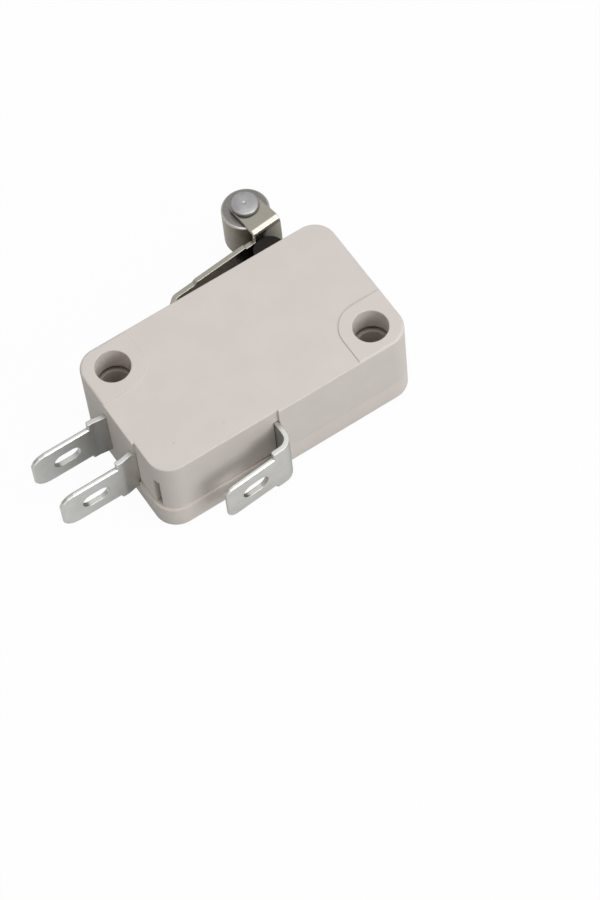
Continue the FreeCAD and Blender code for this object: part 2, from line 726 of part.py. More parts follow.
def make_end_terminal(name, inside_y, outside_y):
    """Flat terminal through the end wall: contact plate inside, side step and tab outside."""
    wall_x = left_x.value
    tab_y = outside_y.value
    run_y = inside_y.value
    tip_x = tab_tip_x.value
    shoulder_x = wall_x - d.shoulder_reach.value
    root_x = wall_x + d.wall.value / 2
    inner_x = wall_x + d.wall.value + d.terminal_run.value
    step = d.shoulder_reach.value / 2
    path = [(inner_x, run_y), (wall_x - step * 0.3, run_y), (wall_x - step * 1.3, tab_y), (tip_x, tab_y)]
    widest = 2 * max(d.root_above.value, d.root_below.value)
    solid = sheet_part(path, d.root_bend.value, d.sheet.value, widest)
    plate = d.contact_plate_width.value / 2
    above, below = terminal_outline(tip_x, shoulder_x, root_x, d.tab_tip_cut, -1)
    inner = [(root_x, plate), (inner_x, plate)]
    low_y = min(run_y, tab_y) - d.sheet.value
    high = max(run_y, tab_y) + d.sheet.value
    solid = solid.common(prism_y(closed_outline(above + inner, below + inner), low_y, high))
    solid = solid.cut(tab_hole(tip_x + d.tab_hole_inset.value, low_y, high))
    rivet_hole = rod_y(d.contact_x.value, mid_z.value, d.rivet_radius.value, low_y, high)
    solid = solid.cut(rivet_hole)
    solid = bevel_tab(solid, tab_y, tip_x, shoulder_x, d.tab_tip_cut)
    return piece(name, solid)


def make_com_terminal():
    """Common terminal: shelf inside, stem through the side wall and a tab turned along the side."""
    x = d.com_x.value
    shelf_end = x + d.shelf_run.value
    shelf_y = d.shelf_y.value
    t = d.sheet.value
    corner = vector(x, com_corner_y.value)
    split_y = low_y.value + d.wall.value / 2
    far = 2 * d.body_thickness.value
    inner_path = [(shelf_end, shelf_y), (x, shelf_y), (x, corner.y)]
    inner = sheet_part(inner_path, d.bracket_sheet.value, t, d.bracket_width.value)
    inner = inner.cut(Part.makeBox(2 * far, far, 2 * far, vector(x - far, split_y - far, -far)))

    # The outer part is made with its tab along X, and then leans away from the side.
    splay = d.com_splay.value
    stem_length = shelf_y - corner.y
    stem_end = corner + vector(math.sin(math.radians(splay)), math.cos(math.radians(splay))) * stem_length
    tip_x = x - d.com_tip.value
    shoulder_x = x - d.com_shoulder.value
    widest = 2 * max(d.root_above.value, d.root_below.value)
    outer_path = [(stem_end.x, stem_end.y), (corner.x, corner.y), (tip_x, corner.y)]
    outer = sheet_part(outer_path, d.com_bend.value, t, widest)
    above, below = terminal_outline(tip_x, shoulder_x, stem_end.x + t, d.com_tip_cut, -1)
    outer = outer.common(prism_y(closed_outline(above, below), corner.y - t, shelf_y + t))
    outer = outer.cut(tab_hole(tip_x + d.com_hole_inset.value, corner.y - t, corner.y + t))
    outer = bevel_tab(outer, corner.y, tip_x, shoulder_x, d.com_tip_cut)
    outer.rotate(corner, vector(0, 0, 1), splay)
    outer = outer.cut(Part.makeBox(2 * far, far, 2 * far, vector(x - far, split_y, -far)))

    solid = inner.fuse(outer).removeSplitter()
    for rivet_x in rivet_places():
        solid = solid.cut(rod_y(rivet_x, mid_z.value, d.rivet_radius.value, shelf_y - t, shelf_y + t))
    return piece("com_terminal", solid)


def rivet_places():
    """Where the two rivets hold the bracket on the shelf, in X."""
    return (d.com_x.value + d.first_rivet_run.value, d.com_x.value + d.last_rivet_run.value)


def turned_body(name, x, y, z, axis, half_section):
    """A body of revolution: half section as radius and height, turned about its own axis."""
    body = new_body(name)
    sketch = new_sketch(body, name + "_section", "XZ_Plane")
    draw_outline(sketch, half_section)
    revolve(body, sketch)
    bind(body, "Placement.Base.x", x)
    bind(body, "Placement.Base.y", y)
    bind(body, "Placement.Base.z", z)
    if axis == "Y":
        body.Placement.Rotation = FreeCAD.Rotation(vector(1, 0, 0), -90)
    if axis == "-Y":
        body.Placement.Rotation = FreeCAD.Rotation(vector(1, 0, 0), 90)
    doc.recompute()
    return body


def make_fixed_contact(name, y, facing):
    """Contact rivet in an end terminal: head towards the moving contact, tail riveted over."""
    top = d.fixed_contact_height
    low = -(d.sheet + d.contact_tail_height)
    section = [
        (0, low),
        (d.contact_tail_radius, low),
        (d.contact_tail_radius, -d.sheet),
        (d.rivet_radius, -d.sheet),
        (d.rivet_radius, 0),
        (d.fixed_contact_radius, 0),
        (d.fixed_contact_radius, top - d.contact_chamfer),
        (d.fixed_contact_radius - d.contact_chamfer, top),
        (0, top),
    ]
    face_y = y + d.sheet / 2 * facing
    return turned_body(name, d.contact_x, face_y, mid_z, "Y" if facing > 0 else "-Y", section)


# Snap mechanism


def make_bracket():
    """Folded bracket on the common terminal: floor and two cheeks with knife-edge notches."""
    sheet_t = d.bracket_sheet.value
    half = d.bracket_width.value / 2
    z = mid_z.value
    floor_y = d.shelf_y.value + d.sheet.value / 2
    fulcrum = vector(d.fulcrum_x.value, d.fulcrum_y.value)
    left_end = d.com_x.value + 0.7
    right_end = d.com_x.value + d.shelf_run.value
    pivot = vector(d.press_pivot_x.value, d.press_pivot_y.value)
    channel = channel_along_x(2 * half, sheet_t, d.fold_radius.value, left_end, right_end)
    channel.translate(vector(0, floor_y, z))
    side = [
        (left_end, floor_y - 1),
        (left_end, floor_y + sheet_t + 0.35),
        (fulcrum.x - 1.0, floor_y + sheet_t + 0.35),
        (fulcrum.x - 0.75, fulcrum.y - 0.75),
        (fulcrum.x + 0.24, fulcrum.y),
        (fulcrum.x - 0.75, fulcrum.y + 0.75),
        (fulcrum.x - 0.75, pivot.y - 0.9),
        (pivot.x - 0.95, pivot.y - 0.9),
        (pivot.x - 0.95, pivot.y + 0.95),
        (fulcrum.x + 1.6, pivot.y + 0.95),
        (fulcrum.x + 2.4, fulcrum.y),
        (right_end, floor_y + sheet_t + 0.35),
        (right_end, floor_y - 1),
    ]
    solid = channel.common(prism_z(side, z - half - 1, z + half + 1))
    pin_radius = d.pivot_pin_radius.value
    solid = solid.cut(rod_z(pivot.x, pivot.y, pin_radius, z - half - 1, z + half + 1))
    for rivet_x in rivet_places():
        solid = solid.cut(rod_y(rivet_x, z, d.rivet_radius.value, floor_y - 1, floor_y + 1))
    return piece("bracket", solid.removeSplitter())


def make_bracket_rivet(name, x):
    """Rivet through the shelf and the bracket's floor."""
    grip = d.sheet + d.bracket_sheet
    head = d.rivet_head_height
    section = [
        (0, -head),
        (d.rivet_head_radius * 0.7, -head),
        (d.rivet_head_radius, 0),
        (d.rivet_radius, 0),
        (d.rivet_radius, grip),
        (d.rivet_head_radius, grip),
        (d.rivet_head_radius * 0.7, grip + head),
        (0, grip + head),
    ]
    return turned_body(name, x, d.shelf_y - d.sheet / 2, mid_z, "Y", section)


def arm_contact_y():
    """Middle of the contact arm's sheet at the contacts: the upper contact is closed at rest."""
    face = d.nc_y - d.sheet / 2 - d.fixed_contact_height
    return face - d.contact_touch - d.moving_contact_height - d.arm_thickness / 2


def arm_angle():
    """Slope of the contact arm at rest, in degrees, positive towards the lever at its contact."""
    run = d.fulcrum_x.value - d.contact_x.value
    return math.degrees(math.atan2(arm_contact_y().value - d.fulcrum_y.value, run))


def arm_point(run):
    """A point of the contact arm's middle, a given run left of the fulcrum."""
    slope = math.radians(arm_angle())
    return (d.fulcrum_x.value - run * math.cos(slope), d.fulcrum_y.value + run * math.sin(slope))


def make_contact_arm():
    """Forked contact arm: two rails to the knife edges, hook hole and rounded contact end."""
    z = mid_z.value
    t = d.arm_thickness.value
    half = arm_width.value / 2
    window = d.arm_window.value / 2
    reach = (d.fulcrum_x.value - d.contact_x.value) / math.cos(math.radians(arm_angle()))
    hook = d.arm_hook_reach.value
    lug = d.bracket_width.value / 2 + 0.25
    end = reach + 1.5
    outline = mirrored_outline([
        (0, lug),
        (-0.6, lug),
        (-0.6, half),
        (-hook - 1.5, half),
        (-reach + 0.6, half * 0.82),
        (-end + 0.7, half * 0.82),
        (-end, half * 0.45),
    ])
    solid = prism_y(outline, -t / 2, t / 2)
    opening = Part.makeBox(hook - 0.9, 2, 2 * window, vector(-hook + 0.9, -1, z - window))
    opening = opening.fuse(Part.makeBox(3, 2, 2 * window, vector(-2, -1, z - window)))
    solid = solid.cut(opening)
    solid = solid.cut(rod_y(-hook, z, d.hook_hole_radius.value, -1, 1))
    solid = solid.cut(rod_y(-reach, z, d.rivet_radius.value, -1, 1))
    turn = FreeCAD.Rotation(vector(0, 0, 1), -arm_angle())
    solid.Placement = FreeCAD.Placement(vector(d.fulcrum_x.value, d.fulcrum_y.value), turn)
    return piece("contact_arm", solid)


def make_moving_contact():
    """Double-headed contact rivet at the end of the contact arm."""
    head = d.moving_contact_height
    radius = d.moving_contact_radius
    half = d.arm_thickness / 2
    crown = radius - d.moving_contact_taper
    section = [
        (0, -half - head),
        (crown, -half - head),
        (radius, -half),
        (d.rivet_radius, -half),
        (d.rivet_radius, half),
        (radius, half),
        (crown, half + head),
        (0, half + head),
    ]
    body = turned_body("moving_contact", d.contact_x, arm_contact_y(), mid_z, "Y", section)
    lean = FreeCAD.Rotation(vector(0, 0, 1), -arm_angle())
    body.Placement.Rotation = lean.multiply(body.Placement.Rotation)
    return body


def make_press_lever():
    """Folded press lever: web under the plunger, two flanges to the pivot and a spring hook."""
    t = d.press_sheet.value
    half = press_width.value / 2
    z = mid_z.value
    pivot = vector(d.press_pivot_x.value, d.press_pivot_y.value)
    hook = vector(d.press_hook_x.value, d.press_hook_y.value)
    top = d.press_top.value
    right_end = d.plunger_x.value + 1.1
    left_end = pivot.x - 0.9
    channel = channel_along_x(2 * half, t, d.fold_radius.value, left_end, right_end)
    channel.rotate(vector(0, 0, 0), vector(1, 0, 0), 180)
    channel.translate(vector(0, top, z))
    side = [
        (left_end, pivot.y - 0.8),
        (left_end, pivot.y + 0.6),
        (pivot.x + 2.2, top + 1),
        (right_end, top + 1),
        (right_end, top - t - 0.5),
        (pivot.x + 4.2, top - t - 0.7),
        (pivot.x + 0.9, pivot.y - 0.8),
    ]
    solid = channel.common(prism_z(side, z - half - 1, z + half + 1))
    leg_half = d.hook_leg_width.value / 2
    leg_low = hook.y - leg_half
    leg_size = (2 * leg_half, top - t / 2 - leg_low, d.hook_leg_depth.value)
    leg = Part.makeBox(*leg_size, vector(hook.x - leg_half, leg_low, z - d.hook_leg_depth.value / 2))
    solid = solid.fuse(leg)
    solid = solid.cut(rod_z(hook.x, hook.y, d.hook_hole_radius.value, z - 1, z + 1))
    bore = d.pivot_pin_radius.value + d.pivot_clearance.value
    solid = solid.cut(rod_z(pivot.x, pivot.y, bore, z - half - 1, z + half + 1))
    return piece("press_lever", solid.removeSplitter())


def make_press_pin(name, side):
    """Short stub pin held by a cheek of the bracket, on which the press lever turns."""
    z = mid_z.value
    inner = press_width.value / 2 - d.press_sheet.value
    outer = d.bracket_width.value / 2
    x = d.press_pivot_x.value
    y = d.press_pivot_y.value
    shank = rod_z(x, y, d.pivot_pin_radius.value, inner, outer)
    head = rod_z(x, y, d.pivot_pin_radius.value + 0.3, outer, outer + 0.3)
    solid = shank.fuse(head)
    if side < 0:
        solid = solid.mirror(vector(0, 0, 0), vector(0, 0, 1))
    solid.translate(vector(0, 0, z))
    return piece(name, solid.removeSplitter())


def spring_path(span, radius):
    """Middle line of the spring's wire along X: an upright end ring, the coil and a flat end ring."""
    sides = d.spring_sides.value
    turns = d.spring_turns.value + 0.25
    coil_length = span - 2 * radius
    steps = round(turns * sides)
    ring_steps = round(sides / 2)
    path = []
    for i in range(ring_steps):
        angle = math.pi * (i / ring_steps - 0.5)
        path.append(vector(radius - radius * math.cos(angle), radius * math.sin(angle)))
    for i in range(steps + 1):
        angle = 2 * math.pi * turns * i / steps
        along = radius + coil_length * i / steps
        path.append(vector(along, radius * math.cos(angle), radius * math.sin(angle)))
    for i in range(1, ring_steps + 1):
        angle = math.pi * (0.5 - i / ring_steps)
        path.append(vector(span - radius + radius * math.cos(angle), 0, radius * math.sin(angle)))
    return path


def make_snap_spring():
    """Tension spring from the contact arm's hook hole to the press lever's hook."""
    wire = d.spring_wire.value / 2
    radius = d.spring_radius.value
    start = arm_point(d.arm_hook_reach.value)
    finish = (d.press_hook_x.value, d.press_hook_y.value)
    span = math.hypot(finish[0] - start[0], finish[1] - start[1]) - d.hook_play.value
    path = spring_path(span, radius)
    corners = []
    for i in range(WIRE_SIDES + 1):
        angle = 2 * math.pi * (i + 0.5) / WIRE_SIDES
        corners.append(vector(wire * math.cos(angle), wire * math.sin(angle)))
    section = Part.makePolygon(corners)
    section.Placement = FreeCAD.Placement(path[0], FreeCAD.Rotation(vector(0, 0, 1), path[1] - path[0]))
    solid = Part.makePolygon(path).makePipeShell([section], True, False, 1)
    lean = math.degrees(math.atan2(finish[1] - start[1], finish[0] - start[0]))
    turn = FreeCAD.Rotation(vector(0, 0, 1), lean)
    solid.Placement = FreeCAD.Placement(vector(start[0], start[1], mid_z.value), turn)
    return piece("snap_spring", solid)


# Plunger, lever and roller


def plunger_top():
    """Crown of the plunger, in Y: it touches the underside of the lever's slope but for a gap."""
    slope = math.radians(d.lever_slope.value)
    crown = crown_radius()
    line_y = d.knee_y + (d.plunger_x - d.knee_x) * math.tan(slope)
    return line_y - (d.lever_sheet / 2 + crown + d.plunger_touch) * (1 / math.cos(slope)) + crown


def crown_radius():
    """Radius of the plunger's crown: a hair under half its length, so that a flat line stays."""
    return d.plunger_length * 0.49


def make_plunger():
    """Plunger with a crowned head, a flange that keeps it in the guide and a rounded foot."""
    body = new_body("plunger")
    half = d.plunger_length / 2
    stem = half / 2
    x = d.plunger_x
    top = plunger_top()
    flange_top = cavity_high - d.flange_play
    flange_low = flange_top - d.plunger_flange
    sketch = new_sketch(body, "plunger_side", "XY_Plane", cover_depth + d.plunger_clearance)
    draw_outline(sketch, [
        (x - stem, d.plunger_foot),
        (x + stem, d.plunger_foot),
        (x + stem, flange_low),
        (x + half + d.plunger_flange, flange_low),
        (x + half + d.plunger_flange, flange_top),
        (x + half, flange_top),
        (x + half, top),
        (x - half, top),
        (x - half, flange_top),
        (x - half - d.plunger_flange, flange_top),
        (x - half - d.plunger_flange, flange_low),
        (x - stem, flange_low),
    ])
    pad(body, sketch, plunger_depth)
    left_top = upright_at(x - half, top)
    right_top = upright_at(x + half, top)
    round_edges(body, "plunger_crown", lambda edge: left_top(edge) or right_top(edge), crown_radius())
    left_foot = upright_at(x - stem, d.plunger_foot)
    right_foot = upright_at(x + stem, d.plunger_foot)
    round_edges(body, "plunger_tip", lambda edge: left_foot(edge) or right_foot(edge), stem * 0.8)
    return body


def lever_place():
    """Placement of the lever's own frame: origin at its bend, X along its straight run."""
    turn = FreeCAD.Rotation(vector(0, 0, 1), d.lever_slope.value)
    return FreeCAD.Placement(vector(d.knee_x.value, d.knee_y.value), turn)


def make_lever():
    """One folded sheet: hinge lugs, slanted tail, straight run and two ears for the roller."""
    t = d.lever_sheet.value
    z = mid_z.value
    place = lever_place()
    tail = place.inverse().multVec(vector(d.pivot_x.value, d.pivot_y.value))
    tail_end = tail * (1 + d.lug_reach.value / tail.Length)
    lug_start = tail.x * (1 - d.lug_reach.value / tail.Length)
    start = d.clevis_start.value
    end = start + d.ear_width.value
    path = [(tail_end.x, tail_end.y), (0, 0), (end, 0)]
    strip = sheet_part(path, d.knee_radius.value, t, d.lug_width.value)
    neck = d.neck_width.value / 2
    middle = d.lever_width.value / 2
    outline = mirrored_outline([
        (tail_end.x - 1, d.lug_width.value / 2),
        (lug_start, d.lug_width.value / 2),
        (lug_start, neck),
        (d.neck_run.value, neck),
        (d.neck_run.value + d.taper_run.value, middle),
        (start - d.relief_run.value, middle),
        (start - d.relief_run.value, neck),
        (end, neck),
    ])
    strip = strip.common(prism_y(outline, -20, 20))
    half = clevis_width.value / 2
    channel = channel_along_x(2 * half, t, d.ear_bend.value, start, end)
    channel.translate(vector(0, -t / 2, z))
    axis = place.inverse().multVec(vector(d.roller_x.value, d.roller_y.value))
    radius = d.ear_radius.value
    side = prism_z([(start, -2), (end, -2), (end, 0.6), (axis.x + radius, axis.y), (axis.x - radius, axis.y),
                    (start, 0.6)], z - half - 1, z + half + 1)
    side = side.fuse(rod_z(axis.x, axis.y, radius, z - half - 1, z + half + 1))
    ears = channel.common(side)
    solid = strip.fuse(ears)
    solid = solid.cut(rod_z(axis.x, axis.y, d.pin_radius.value, z - half - 1, z + half + 1))
    solid = solid.removeSplitter()
    solid.Placement = place.multiply(solid.Placement)
    return piece("lever", solid)


def make_roller():
    """Turned steel roller with rounded rims and a bore for its pin."""
    half = d.roller_width / 2
    bore = d.pin_radius + d.roller_bore_clearance
    rim = d.roller_edge
    section = [
        (bore, -half),
        (d.roller_radius - rim, -half),
        (d.roller_radius - rim * 0.3, -half + rim * 0.3),
        (d.roller_radius, -half + rim),
        (d.roller_radius, half - rim),
        (d.roller_radius - rim * 0.3, half - rim * 0.3),
        (d.roller_radius - rim, half),
        (bore, half),
    ]
    return turned_body("roller", d.roller_x, d.roller_y, mid_z, "Z", section)


def make_roller_pin():
    """Rivet pin through both ears: flat head with a centre mark on one side, dome on the other."""
    half = clevis_width / 2
    head = d.pin_head_height
    radius = d.pin_radius
    dome = d.pin_dome_radius
    tall = d.pin_dome_height
    edge = d.pin_head_edge
    section = [
        (0, -half - tall),
        (dome * 0.5, -half - tall * 0.9),
        (dome * 0.85, -half - tall * 0.5),
        (dome, -half),
        (radius, -half),
        (radius, half),
        (d.pin_head_radius, half),
        (d.pin_head_radius, half + head - edge),
        (d.pin_head_radius - edge, half + head),
        (d.pin_mark_radius, half + head),
        (0, half + head - d.pin_mark_depth),
    ]
    return turned_body("roller_pin", d.roller_x, d.roller_y, mid_z, "Z", section)


# Build, check and write

pieces = [
    make_case(),
    make_cover(),
    make_end_terminal("nc_terminal", d.nc_y, d.nc_tab_y),
    make_end_terminal("no_terminal", d.no_y, d.no_tab_y),
    make_com_terminal(),
    make_fixed_contact("nc_contact", d.nc_y, -1),
    make_fixed_contact("no_contact", d.no_y, 1),
    make_bracket(),
    make_bracket_rivet("bracket_rivet_1", rivet_places()[0]),
    make_bracket_rivet("bracket_rivet_2", rivet_places()[1]),
    make_contact_arm(),
    make_moving_contact(),
    make_press_lever(),
    make_press_pin("press_pin_1", 1),
    make_press_pin("press_pin_2", -1),
    make_snap_spring(),
    make_plunger(),
    make_lever(),
    make_roller(),
    make_roller_pin(),
]
doc.recompute()
for item in doc.Objects:
    if "Invalid" in item.State or "Error" in item.State:
        raise RuntimeError(f"{item.Label} failed")
os.makedirs("parts", exist_ok=True)
for item in pieces:
    if item.Shape.isNull() or not item.Shape.isValid():
        raise RuntimeError(f"{item.Label} has no valid shape")
    item.Shape.exportStep(f"parts/{item.Label}.step")
    print(f"{item.Label}: {len(item.Shape.Solids)} solid, {item.Shape.Volume:.2f} mm3")
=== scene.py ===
"""Finishes the roller lever micro switch: its turned and coiled pieces, every material, and the
studio that it stands in. Lengths are metres in the part's own frame: X runs along the housing away
from the two end tabs, Y towards the lever, Z up from the face that it rests on.
"""

import json
import math

import bmesh
import bpy
import numpy as np
from bpy.props import FloatProperty, FloatVectorProperty, IntProperty, PointerProperty
from mathutils import Matrix, Vector


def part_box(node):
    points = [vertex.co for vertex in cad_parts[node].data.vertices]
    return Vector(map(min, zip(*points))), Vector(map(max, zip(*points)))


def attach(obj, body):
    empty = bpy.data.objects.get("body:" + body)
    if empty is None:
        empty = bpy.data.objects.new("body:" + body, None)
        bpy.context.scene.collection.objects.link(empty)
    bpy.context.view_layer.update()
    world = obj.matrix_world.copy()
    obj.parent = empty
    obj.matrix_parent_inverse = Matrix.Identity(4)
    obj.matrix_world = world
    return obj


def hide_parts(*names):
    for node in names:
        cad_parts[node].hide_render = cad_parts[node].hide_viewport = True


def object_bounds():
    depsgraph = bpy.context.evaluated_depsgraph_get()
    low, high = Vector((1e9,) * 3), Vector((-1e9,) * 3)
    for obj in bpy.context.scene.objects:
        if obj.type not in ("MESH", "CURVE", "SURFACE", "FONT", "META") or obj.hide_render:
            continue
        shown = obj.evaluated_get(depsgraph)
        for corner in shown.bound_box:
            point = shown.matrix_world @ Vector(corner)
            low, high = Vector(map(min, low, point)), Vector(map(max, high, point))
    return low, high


bl_info = {
    "name": "Roller Lever Micro Switch",
    "version": (1, 0, 0),
    "blender": (4, 5, 0),
    "location": "3D View > Sidebar > Switch",
    "description": "Dresses a snap-action micro switch with a roller lever",
    "category": "Object",
}

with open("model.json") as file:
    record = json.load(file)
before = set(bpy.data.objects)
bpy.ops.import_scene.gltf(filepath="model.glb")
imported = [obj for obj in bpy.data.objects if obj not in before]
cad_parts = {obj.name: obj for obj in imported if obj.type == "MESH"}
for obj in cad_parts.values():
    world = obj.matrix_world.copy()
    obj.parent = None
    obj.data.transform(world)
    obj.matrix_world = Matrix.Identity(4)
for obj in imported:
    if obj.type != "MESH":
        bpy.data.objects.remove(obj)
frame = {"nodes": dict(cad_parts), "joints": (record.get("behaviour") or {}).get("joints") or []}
CAD_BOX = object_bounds()
MM = 0.001
WHITE = (1.0, 1.0, 1.0, 1.0)
FRAME_WIDTH = 36.0

# Heights of the bumps that the finishes put on their surfaces
MOULD_GRAIN = 0.0000045
SMOOTH_GRAIN = 0.000003
METAL_GRAIN = 0.0000025


def joint_place(name):
    """Where a joint's axis passes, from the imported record."""
    return [joint["pos_m"] for joint in frame["joints"] if joint["name"] == name][0]


ROLLER_LOW, ROLLER_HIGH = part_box("roller")
PIN_LOW, PIN_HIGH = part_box("roller_pin")
ROLLER_AXIS = joint_place("roller_spin")
SPRING_FOOT = joint_place("spring_swing")


# Sizes and colours that a user would change


def length(name, default, about):
    """A length property in metres, shown with its unit."""
    return FloatProperty(
        name=name, default=default, description=about, subtype="DISTANCE", unit="LENGTH", precision=6, min=0.0
    )


def share(name, default, about):
    """A property from 0 to 1."""
    return FloatProperty(name=name, default=default, description=about, subtype="FACTOR", min=0.0, max=1.0)


def tint(name, default, about):
    """A colour property, linear red, green and blue."""
    return FloatVectorProperty(
        name=name, default=default, description=about, subtype="COLOR", size=3, min=0.0, max=1.0
    )


class HousingFinish(bpy.types.PropertyGroup):
    case_colour: tint("Case colour", (0.735, 0.68, 0.635), "Moulded plastic of the upper shell")
    # The cover is the same plastic as the case, set a little lighter: painted light that evens out the lower
    # shell's shade.
    cover_colour: tint("Cover colour", (0.765, 0.705, 0.655), "Moulded plastic of the lower shell")
    # Painted shade: the five settings below darken the plastic's colour where shade falls, in its hollows and
    # narrow gaps, found by ambient occlusion.
    painted_shade_colour: tint("Hollow colour", (0.29, 0.21, 0.15), "What the plastic turns to deep in its hollows")
    painted_shade_reach: length("Hollow reach", 0.0032, "How near a wall has to be to darken another")
    painted_shade_share: share("Hollow share", 0.13, "How far the deepest hollows turn to that colour")
    painted_gap_shade_colour: tint("Depth colour", (0.05, 0.036, 0.028), "What the plastic turns to in dark gaps")
    painted_gap_shade_share: share("Depth share", 0.75, "How far the darkest gaps turn to that colour")
    roughness: share("Roughness", 0.5, "Roughness of both shells")
    grain: length("Grain", 0.00011, "Size of the mould's fine grain")
    softening: length("Edge softening", 0.00016, "Rounding that the light sees on moulded edges")


class PlungerFinish(bpy.types.PropertyGroup):
    colour: tint("Colour", (0.014, 0.011, 0.010), "Black moulded plastic")
    roughness: share("Roughness", 0.42, "Roughness of the plunger")


class TerminalFinish(bpy.types.PropertyGroup):
    colour: tint("Colour", (0.62, 0.62, 0.595), "Tin plating")
    tarnish: tint("Tarnish", (0.50, 0.49, 0.44), "Colour that the plating turns to in patches")
    roughness: share("Roughness", 0.33, "Roughness of the plating")
    softening: length("Edge softening", 0.00011, "Rounding that the light sees on sheared edges")


class LeverFinish(bpy.types.PropertyGroup):
    colour: tint("Colour", (0.45, 0.425, 0.365), "Rolled spring steel")
    roughness: share("Roughness", 0.22, "Roughness of the sheet")
    softening: length("Edge softening", 0.00011, "Rounding that the light sees on sheared edges")


class RollerShape(bpy.types.PropertyGroup):
    rim_round: length("Rim rounding", 0.00022, "Radius of the roller's rims")
    bore_play: length("Bore play", 0.00005, "Between the roller and its pin")
    pin_radius: length("Pin radius", 0.00075, "Radius of the pin's shank")
    head_height: length("Head height", 0.00042, "Flat head of the pin, above the ear")
    head_round: length("Head rounding", 0.00014, "Radius of the pin head's rim")
    mark_radius: length("Mark radius", 0.0002, "Centre mark in the pin's head")
    mark_depth: length("Mark depth", 0.00005, "Centre mark in the pin's head")
    mark_round: length("Mark rounding", 0.00006, "Radius of the centre mark's rim")
    dome_height: length("Dome height", 0.00055, "Riveted end of the pin")
    dome_radius: length("Dome radius", 0.00125, "Riveted end of the pin")
    dome_crown: length("Dome crown", 0.00003, "Rise of the dome's middle over its flat")
    crown_round: length("Crown rounding", 0.0004, "Radius between the dome's flat and its slope")
    dome_round: length("Dome rounding", 0.0003, "Radius of the dome's shoulder")
    bore_round: length("Bore rounding", 0.0001, "Radius of the roller's bore at its ends")
    around: IntProperty(name="Faces around", default=96, min=12, description="Faces round each turned piece")
    # Painted shade: the tread's colour is darker and browner than the ends', for the dark reflection that the
    # tread shows.
    steel: tint("Roller steel", (0.275, 0.242, 0.192), "Burnished steel of the roller's tread")
    end_steel: tint("Roller ends", (0.29, 0.28, 0.265), "Faced steel of the roller's ends")
    pin_steel: tint("Pin steel", (0.435, 0.427, 0.43), "Steel of the pin")


class SpringShape(bpy.types.PropertyGroup):
    turns: FloatProperty(name="Turns", default=11.25, min=1.0, description="Turns of the coil")
    coil_radius: length("Coil radius", 0.00085, "To the middle of the wire")
    wire_radius: length("Wire radius", 0.00014, "Radius of the wire")
    span: length("Span", 0.0123, "From hook to hook")
    steps: IntProperty(name="Steps in a turn", default=40, min=8, description="Straight steps in each turn")
    sides: IntProperty(name="Sides of the wire", default=12, min=5, description="Faces round the wire")
    lean: FloatProperty(
        name="Lean", default=math.radians(7.34), subtype="ANGLE", unit="ROTATION",
        description="Slope of the coil above the housing's length",
    )
    colour: tint("Colour", (0.50, 0.50, 0.49), "Drawn spring wire")


class MechanismFinish(bpy.types.PropertyGroup):
    bracket_colour: tint("Bracket", (0.62, 0.46, 0.20), "Brass of the bracket and its rivets")
    arm_colour: tint("Contact arm", (0.65, 0.36, 0.20), "Copper alloy of the contact arm")
    contact_colour: tint("Contacts", (0.78, 0.77, 0.74), "Silver of the contact rivets")
    press_colour: tint("Press lever", (0.42, 0.42, 0.41), "Steel of the press lever and its pins")


class StudioSettings(bpy.types.PropertyGroup):
    focal_length: FloatProperty(
        name="Focal length", default=138.162, min=1.0, description="In mm on a 36 mm frame"
    )
    camera_place: FloatVectorProperty(
        name="Camera place", default=(-0.08413, -0.14787, 0.28657), size=3, subtype="TRANSLATION",
        unit="LENGTH", precision=5, description="Where the camera stands",
    )
    camera_turn: FloatVectorProperty(
        name="Camera turn", default=(0.515197, 0.061118, -0.577626), size=3, subtype="EULER", unit="ROTATION",
        description="Angles about X, Y and Z, in that order",
    )
    key_power: FloatProperty(
        name="Key power", default=0.68, min=0.0, subtype="POWER", unit="POWER", description="Lamp overhead"
    )
    key_place: FloatVectorProperty(
        name="Key place", default=(0.10, -0.02, 0.42), size=3, subtype="TRANSLATION", unit="LENGTH",
        description="Where the lamp overhead hangs, from the part's middle",
    )
    key_size: length("Key size", 0.34, "Side of the lamp overhead")
    front_power: FloatProperty(
        name="Front power", default=0.66, min=0.0, subtype="POWER", unit="POWER",
        description="Lamp on the camera's side",
    )
    front_place: FloatVectorProperty(
        name="Front place", default=(0.15, -0.36, 0.20), size=3, subtype="TRANSLATION", unit="LENGTH",
        description="Where the lamp on the camera's side hangs, from the part's middle",
    )
    front_size: length("Front size", 0.22, "Side of the lamp on the camera's side")
    ambient: FloatProperty(
        name="Ambient", default=0.42, min=0.0, description="Level of the even light all round"
    )
    mirrored_low: share("Mirrored horizon", 0.42, "Level of the room that metal mirrors, at its horizon")
    mirrored_high: share("Mirrored ceiling", 0.74, "Level of the room that metal mirrors, overhead")
    mirrored_front: share("Mirrored window", 0.9, "What the room's bright front adds in metal")
    floor_white: share("Floor white", 0.96, "How far the camera sees the floor as plain white")
    floor_glow: share("Floor glow", 0.3, "How far metal mirrors the open floor as plain white")
    # Painted shadow: how near the part the floor that metal mirrors is painted dark.
    floor_shadow_reach: length("Floor reach", 0.009, "How near the part the floor that metal mirrors is dark")


# Shader nodes


